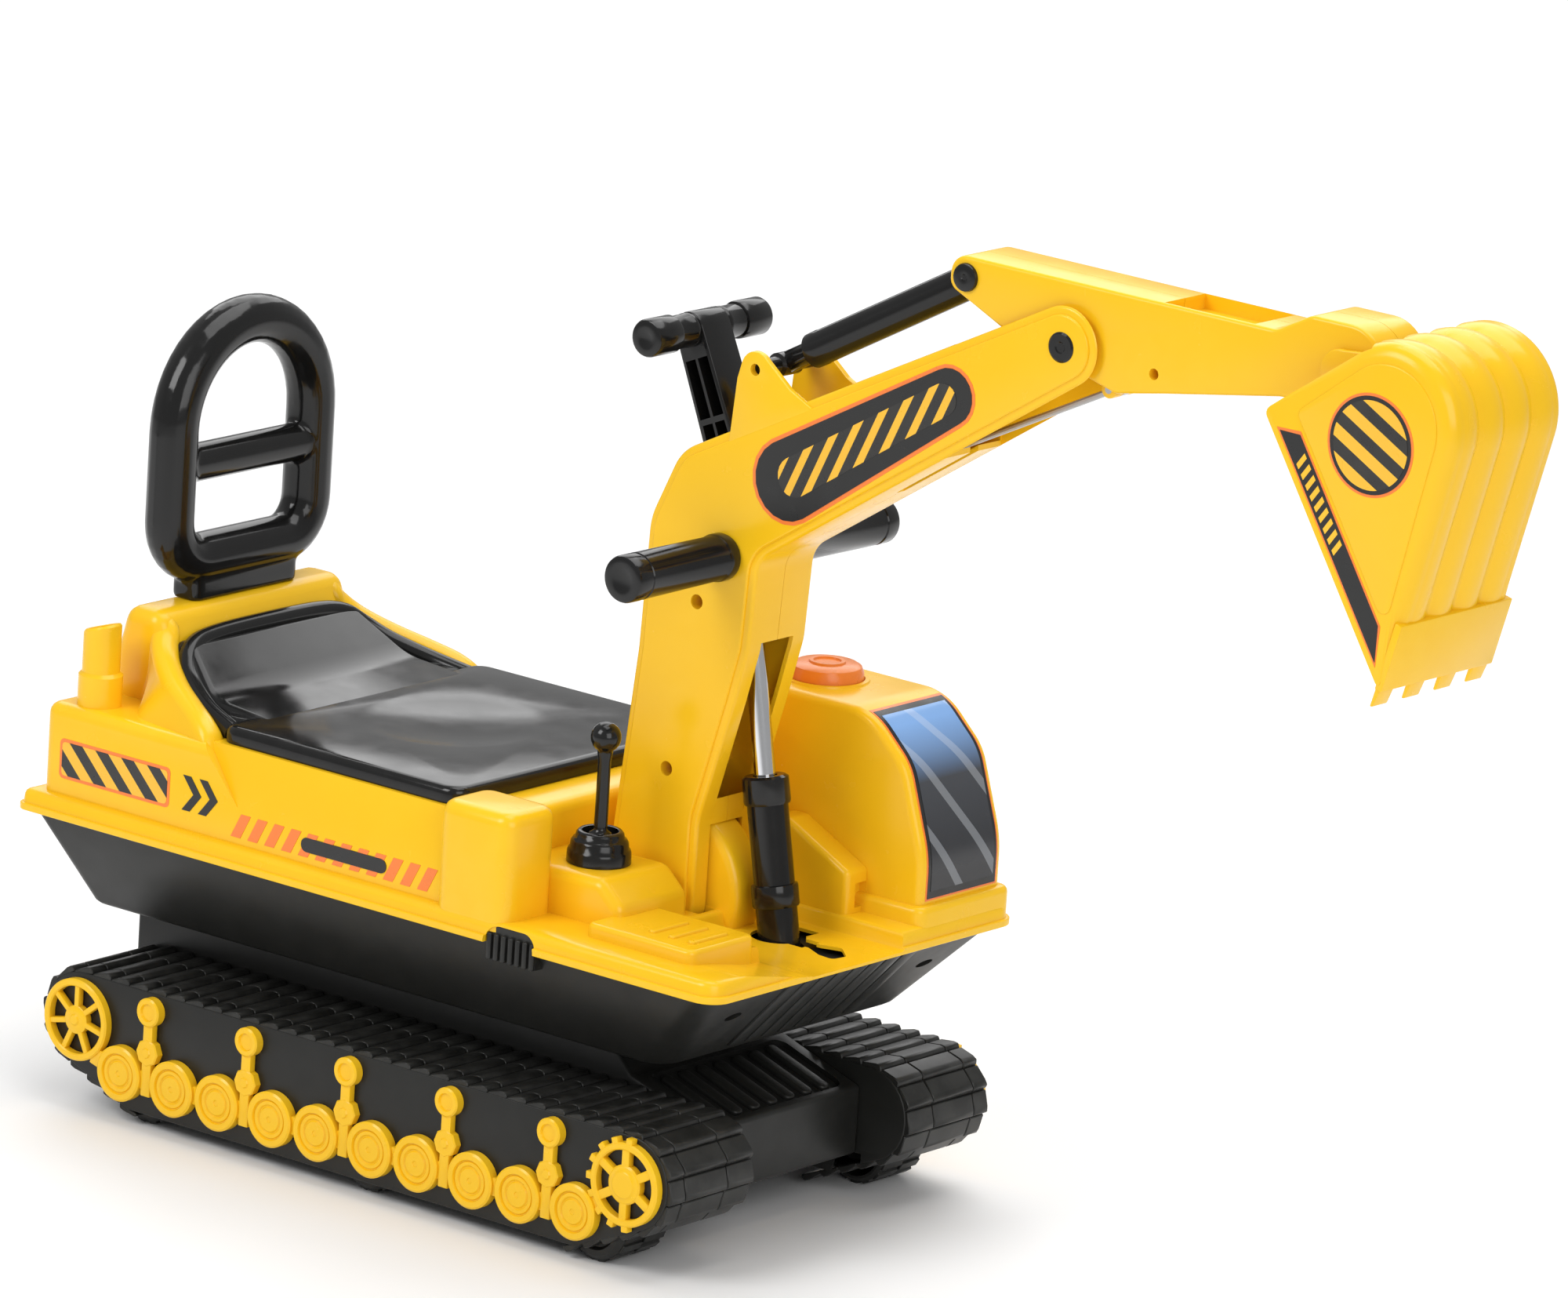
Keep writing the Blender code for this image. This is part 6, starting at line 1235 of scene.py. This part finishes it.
T_BAR = Vector((0.145, 0.661))
CRANK = Vector((0.030, -0.028))
CRANK_END = Vector(LEVER) + CRANK
LEVER_HALF, LEVER_WEB = 0.0165, 0.0050
lever_side = tapered((T_BAR, LEVER, CRANK_END), (0.0135, 0.0160, 0.0072))
lever_run = Vector(LEVER) - T_BAR
on_lever = measured(T_BAR, lever_run, left_of(lever_run).normalized())
pockets = []
for low, high in ((0.20, 0.60), (0.64, 0.86)):
    for left, right in ((-0.0108, -0.0012), (0.0012, 0.0108)):
        for near, far in ((-0.03, -LEVER_WEB), (LEVER_WEB, 0.03)):
            pockets.append(slab([on_lever(low, left), on_lever(high, left * 1.08),
                                 on_lever(high, right * 1.08), on_lever(low, right)], near, far))
crank_gap = slab(tapered((CRANK_END + CRANK, CRANK_END, CRANK_END - Vector((0.0135, -0.0126))),
                         (0.02, 0.02, 0.02)), -0.0045, 0.0045)
lever = less(rounded_slab(lever_side, -LEVER_HALF, LEVER_HALF, 0.0012, 0.0012, 3), *pockets, crank_gap)
piece("lever_crank", lever, "lever", black_gloss, "t_lever")
handle = [(0.0, 0.0651), (0.0050, 0.0651), (0.0058, 0.0655), (0.0120, 0.0655), (0.0135, 0.0648),
          (0.0143, 0.0632), (0.0143, 0.0390), (0.0138, 0.0376), (0.0126, 0.0372), (0.0126, 0.0215),
          (0.0130, 0.0205), (0.0130, 0.0180), (0.0126, 0.0172), (0.0126, 0.0)]
handle += [(radius, -height) for radius, height in reversed(handle[:-1])]
piece("t_bar_handle", turned_across(handle, T_BAR, 40), "lever", black_gloss, "t_bar")

# Stick: two hollow yellow halves screwed together, hung in the boom's fork. Its tail takes the link, its top
# has an open pocket, and its nose carries the bucket.
STICK_HALF, STICK_WALL = 0.027, 0.003
BUCKET_PIN, LINK_HEAD, STICK_SCREW = (0.745, 0.748), (0.406, 0.751), (0.579, 0.713)
STICK_CRANK = Vector(ELBOW) + CRANK
POCKET, POCKET_FLOOR = (0.582, 0.662), 0.7545
stick_corners = [(0.778, 0.781, 0.0313), (0.712, 0.781, 0.014), (0.682, 0.765, 0.020),
                 (0.3905, 0.7665, 0.0145), (0.3905, 0.742, 0.010), (0.440, 0.720, 0.020),
                 (0.545, 0.692, 0.010), (0.590, 0.7005, 0.05), (0.690, 0.718, 0.03), (0.778, 0.715, 0.0313)]
stick_side = filleted(stick_corners, 10)
lug = [tuple(STICK_CRANK + Vector((-0.006, 0.014))), *arc(STICK_CRANK, 0.0065, 180, 360, 10),
       tuple(STICK_CRANK + Vector((0.0065, 0.014)))]
inside = (PAST_SEAM, STICK_HALF - STICK_WALL)
link_gap = box((0.366, 0.430), (PAST_SEAM, 0.0150), (0.70, 0.7640))
crank_slot = box((STICK_CRANK.x - 0.022, STICK_CRANK.x + 0.010), (PAST_SEAM, 0.0046), (0.66, 0.71))
pin_holes = [bar(spot, radius, PAST_SEAM, PAST_SIDE)
             for spot, radius in ((BUCKET_PIN, 0.0054), (ELBOW, 0.0064))]
stick_rim = less(rounded_slab(stick_side, SEAM, STICK_HALF, 0.0030),
                 slab(inset(stick_side, STICK_WALL), *inside), box(POCKET, inside, (0.74, 0.80)), link_gap,
                 crank_slot, *pin_holes, bar(STICK_SCREW, 0.0042, 0.0205, PAST_SIDE, 20))
pocket_walls = [box(x, (SEAM, 0.0242), z) for x, z in (
    ((POCKET[0] - 0.003, POCKET[1] + 0.003), (POCKET_FLOOR - 0.003, POCKET_FLOOR)),
    ((POCKET[0] - 0.0035, POCKET[0] - 0.0005), (POCKET_FLOOR - 0.002, 0.7635)),
    ((POCKET[1] + 0.0005, POCKET[1] + 0.0035), (POCKET_FLOOR - 0.002, 0.7635)))]
stick_boss = turned_across([(0.0070, 0.0245), (0.0070, SEAM), (0.0, SEAM), (0.0, 0.0180), (0.0043, 0.0180),
                            (0.0043, 0.0245)], STICK_SCREW, 24, bored=True)
stick_left = joined([stick_rim, *pocket_walls, stick_boss, bevelled(slab(lug, 0.0047, 0.0163), 0.0008, 2)])
both_sides("stick_{}_half", stick_left, "stick", yellow_plastic, "stick_{}")
link_cap = [(0.0, 0.0292), (0.0020, 0.0292), (0.0028, 0.0300), (0.0078, 0.0304), (0.0100, 0.0296),
            (0.0106, 0.0280), (0.0106, 0.0266), (0.0030, 0.0266), (0.0030, 0.0), (0.0, 0.0)]
piece("link_pin_caps", both_ends(link_cap, LINK_HEAD, 32), "stick", black_gloss, "link_pin")
piece("bucket_pin_shaft", bar(BUCKET_PIN, 0.0050, -0.0352, 0.0352, 28), "stick", zinc_steel, "bucket_pin")

# Push rod: a steel wire with a flattened eye at each end, hidden in the boom between the lever's crank and
# the stick's. It shows as the frame has it.
carried_over(zinc_steel, "push_rod")

# Link cylinder: a glossy black tube hung on the stick's tail, with a thinner black rod sliding in it whose
# cross head sits between the ears of the boom.
link_line = Vector(LINK_FOOT) - Vector(LINK_HEAD)
link_at, link_way = mid_plane(LINK_HEAD), mid_plane(link_line)
tube = [(0.0100, 0.1800), (0.0118, 0.1802), (0.0132, 0.1788), (0.0134, 0.1700), (0.0130, 0.1688),
        (0.0130, 0.0060), (0.0118, 0.0010), (0.0090, -0.0020), (0.0, -0.0030), (0.0, 0.0200),
        (0.0100, 0.0205)]
piece("link_tube", lathe(tube, link_at, link_way, 40, bored=True), "link_outer", black_gloss, "link_sleeve")
link_length = link_line.length
link_bar = lathe([(0.0, link_length + 0.004), (0.0060, link_length + 0.003), (0.0085, link_length - 0.001),
                  (0.0085, 0.0502), (0.0, 0.0502)], link_at, link_way, 32)
link_head = turned_across([(0.0, 0.0292), (0.0056, 0.0292), (0.0068, 0.0280), (0.0068, 0.0120),
                           (0.0090, 0.0100), (0.0090, -0.0100), (0.0068, -0.0120), (0.0068, -0.0280),
                           (0.0056, -0.0292), (0.0, -0.0292)], LINK_FOOT, 28)
piece("link_rod_head", joined([link_bar, link_head]), "link_inner", black_gloss, "link_rod")

# Bucket: a thin yellow scoop moulded in one piece, with four swelling bands down its back, a raised field on
# each side, a stepped digging lip, four teeth and two lugs that the nose of the stick sits between.
BUCKET_HALF, BUCKET_WALL, FIELD_HALF = 0.067, 0.004, 0.0682
RIM_TOP, RIM_LOW, HEEL = Vector((0.706, 0.719)), Vector((0.823, 0.538)), Vector((0.839, 0.598))
CROWN, CROWN_RADIUS = (0.812, 0.727), 0.058
BAND_COUNT, BAND_DEPTH, BAND_STEPS, BAND_FADE, BACK_SHARE, SIDE_ROUND = 4, 0.0045, 48, 0.040, 0.93, 0.013
mouth_run = (RIM_LOW - RIM_TOP).normalized()
mouth_in = left_of(mouth_run)
off_mouth = measured(RIM_TOP, mouth_run, mouth_in)
crown_line = sharp(arc(CROWN, CROWN_RADIUS, -14, 126, 28))
bucket_side = filleted([(*RIM_TOP, 0.007), (*RIM_LOW, 0.003), (*HEEL, 0.02), *crown_line], 6)


def bucket_section(sunk):
    """Side outline with its back sunk in by a depth that fades out towards the mouth."""
    outline = []
    for here, there in zip(bucket_side, inset(bucket_side, sunk)):
        share = min(max((Vector(here) - RIM_TOP).dot(mouth_in), 0.0) / BAND_FADE, 1.0)
        outline.append(tuple(Vector(here).lerp(Vector(there), share)))
    return outline


def across_bucket():
    """(Y, sunk depth) pairs over the bucket's width: round sides and four swelling bands."""
    flat = BUCKET_HALF - SIDE_ROUND
    spread_half = BUCKET_HALF * BACK_SHARE
    edge = [(flat + SIDE_ROUND * cos(radians(turn)), SIDE_ROUND * (1 - sin(radians(turn))))
            for turn in range(0, 76, 15)]
    middle = []
    for i in range(BAND_STEPS + 1):
        y = flat - 2 * flat * i / BAND_STEPS
        swell = (y + spread_half) / (2 * spread_half) * BAND_COUNT % 1.0
        middle.append((y, BAND_DEPTH * (2 * swell - 1) ** 2))
    return edge + middle + [(-y, sunk) for y, sunk in reversed(edge)]


bucket_body = skinned([[(x, y, z) for x, z in bucket_section(sunk)] for y, sunk in across_bucket()])
FREE_EDGE = 104
roof = arc(CROWN, CROWN_RADIUS, -14, FREE_EDGE, 24)
roof_end = Vector(CROWN) + Vector((cos(radians(FREE_EDGE)), sin(radians(FREE_EDGE)))) * 0.095
outside = Vector((-0.06, -0.03))
scoop_floor = filleted([(*(RIM_LOW + outside), 0.0), (*RIM_LOW, 0.003), (*HEEL, 0.02), (*roof[0], 0.0)], 8)
scoop = inset([*scoop_floor[:-1], *roof, tuple(roof_end), tuple(RIM_TOP + Vector((-0.06, 0.06)))],
              BUCKET_WALL + 0.0035)
scoop_cut = slab(scoop, BUCKET_WALL - BUCKET_HALF, BUCKET_HALF - BUCKET_WALL)
field = filleted([*sharp(arc(CROWN, CROWN_RADIUS - 0.0145, -14, 122, 20)),
                  (*off_mouth(0.013, 0.0262), 0.006), (*off_mouth(0.177, 0.0262), 0.006)], 5)
side_field = rounded_slab(field, BUCKET_HALF - 0.001, FIELD_HALF, 0.0010, 0.0, 3)
digging_edge = (RIM_LOW - HEEL).normalized()
off_edge = measured(RIM_LOW, digging_edge, left_of(digging_edge))
lip_plate = [off_edge(-0.052, 0.0016), off_edge(0.0, 0.0016), off_edge(0.0, -0.0045),
             off_edge(-0.052, -0.0045)]
lug_plate = [*arc(BUCKET_PIN, 0.016, 80, 280, 14), *arc(CROWN, CROWN_RADIUS - 0.006, -20, 60, 12)]
tooth_tip = RIM_LOW + digging_edge * 0.0118
tooth_side = [off_edge(-0.014, 0.0010), off_edge(-0.014, -0.0042),
              tuple(tooth_tip - Vector((0.0052, 0.001))), tuple(tooth_tip - Vector((0.0030, 0.0012)))]
TOOTH_COUNT, TOOTH_WIDTH, TOOTH_MARGIN = 4, 0.0185, 0.0015
TOOTH_PITCH = (2 * BUCKET_HALF - 2 * TOOTH_MARGIN - TOOTH_WIDTH) / (TOOTH_COUNT - 1)
tooth = slab(tooth_side, TOOTH_MARGIN - BUCKET_HALF, TOOTH_MARGIN - BUCKET_HALF + TOOTH_WIDTH)
teeth = row(bevelled(tooth, 0.0014, 3), TOOTH_COUNT, yellow_plastic, (0.0, TOOTH_PITCH, 0.0))
LUG_SPANS = ((-0.0353, -0.0297), (0.0297, 0.0353))
bucket_lugs = [bevelled(slab(lug_plate, *span), 0.0012, 2) for span in LUG_SPANS]
bucket_lip = bevelled(slab(lip_plate, 0.0005 - BUCKET_HALF, BUCKET_HALF - 0.0005), 0.001, 2)
bucket = joined([less(bucket_body, scoop_cut, solver="MANIFOLD"), bucket_lip, side_field,
                 mirrored(side_field), teeth, *bucket_lugs])
piece("bucket_scoop", bucket, "scoop", yellow_plastic, "bucket")

# Bucket stickers: printed films on each side, a round striped badge on the raised field and a dark strip
# with yellow bars along the mouth's edge.
BADGE, BADGE_RADIUS = (0.801, 0.711), 0.0370
badge_stripes = stripes("badge_stripes", (26.0, 0.0, 48.0), 0.5, BADGE)
yellow_film = film("yellow_film", YELLOW_INK)
STRIP_BARS, STRIP_PITCH = 9, 0.0082
STRIP_EDGE = ((0.016, 0.0050), (0.199, 0.0050), (0.175, 0.0228), (0.027, 0.0228))
STRIP_FACE = ((0.0190, 0.0064), (0.1960, 0.0064), (0.1738, 0.0214), (0.0290, 0.0214))
STRIP_BAR = ((0.046, 0.0088), (0.050, 0.0088), (0.046, 0.0190), (0.042, 0.0190))
strip_step = (mouth_run.x * STRIP_PITCH, 0.0, mouth_run.y * STRIP_PITCH)
for side in ("right", "left"):
    for name, inner, out, finish in (("_edge", 0.0, 0.0003, orange_film),
                                     ("_rim", 0.0020, 0.0005, black_film),
                                     ("", 0.0050, 0.0008, badge_stripes)):
        stuck(f"bucket_badge_{side}{name}", arc(BADGE, BADGE_RADIUS - inner, 0, 354, 59), side, FIELD_HALF,
              out, "scoop", finish)
    for name, corners, out, finish, count in (("_edge", STRIP_EDGE, 0.0003, orange_film, 1),
                                              ("", STRIP_FACE, 0.0005, black_film, 1),
                                              ("_bars", STRIP_BAR, 0.0007, yellow_film, STRIP_BARS)):
        outline = [off_mouth(*corner) for corner in corners]
        stuck(f"bucket_strip_{side}{name}", outline, side, BUCKET_HALF, out, "scoop", finish, count,
              strip_step)

# Body stickers: on each side of the body a hazard panel with a plain border, a pair of chevrons, and a
# row of slanting orange bars with a plain black tab over them.
hazard_bars = stripes("hazard_bars", (38.0, 0.0, 38.0), 0.5)
BODY_SIDE = 0.168
panel_edge = rounded_rectangle((-0.317, -0.205), (0.246, 0.277), 0.004)
panel_face = rounded_rectangle((-0.3145, -0.2075), (0.2485, 0.2745), 0.003)
chevron = [(-0.192, 0.248), (-0.184, 0.248), (-0.173, 0.2615), (-0.184, 0.275), (-0.192, 0.275),
           (-0.181, 0.2615)]
slash = [(-0.142, 0.2385), (-0.1325, 0.2385), (-0.1230, 0.2570), (-0.1325, 0.2570)]
tab = rounded_rectangle((-0.072, 0.012), (0.2425, 0.2535), 0.0054)
for side in ("right", "left"):
    for name, outline, out, finish, count, pitch in (
            (f"panel_{side}_edge", panel_edge, 0.0003, orange_film, 1, 0.0),
            (f"panel_{side}_hazard", panel_face, 0.0006, hazard_bars, 1, 0.0),
            (f"chevrons_{side}", chevron, 0.0004, black_film, 2, 0.0165),
            (f"slashes_{side}", slash, 0.0004, orange_film, 12, 0.0168),
            (f"tab_{side}", tab, 0.0007, black_film, 1, 0.0)):
        stuck(f"side_{name}", outline, side, BODY_SIDE, out, "upper_body", finish, count, (pitch, 0.0, 0.0))
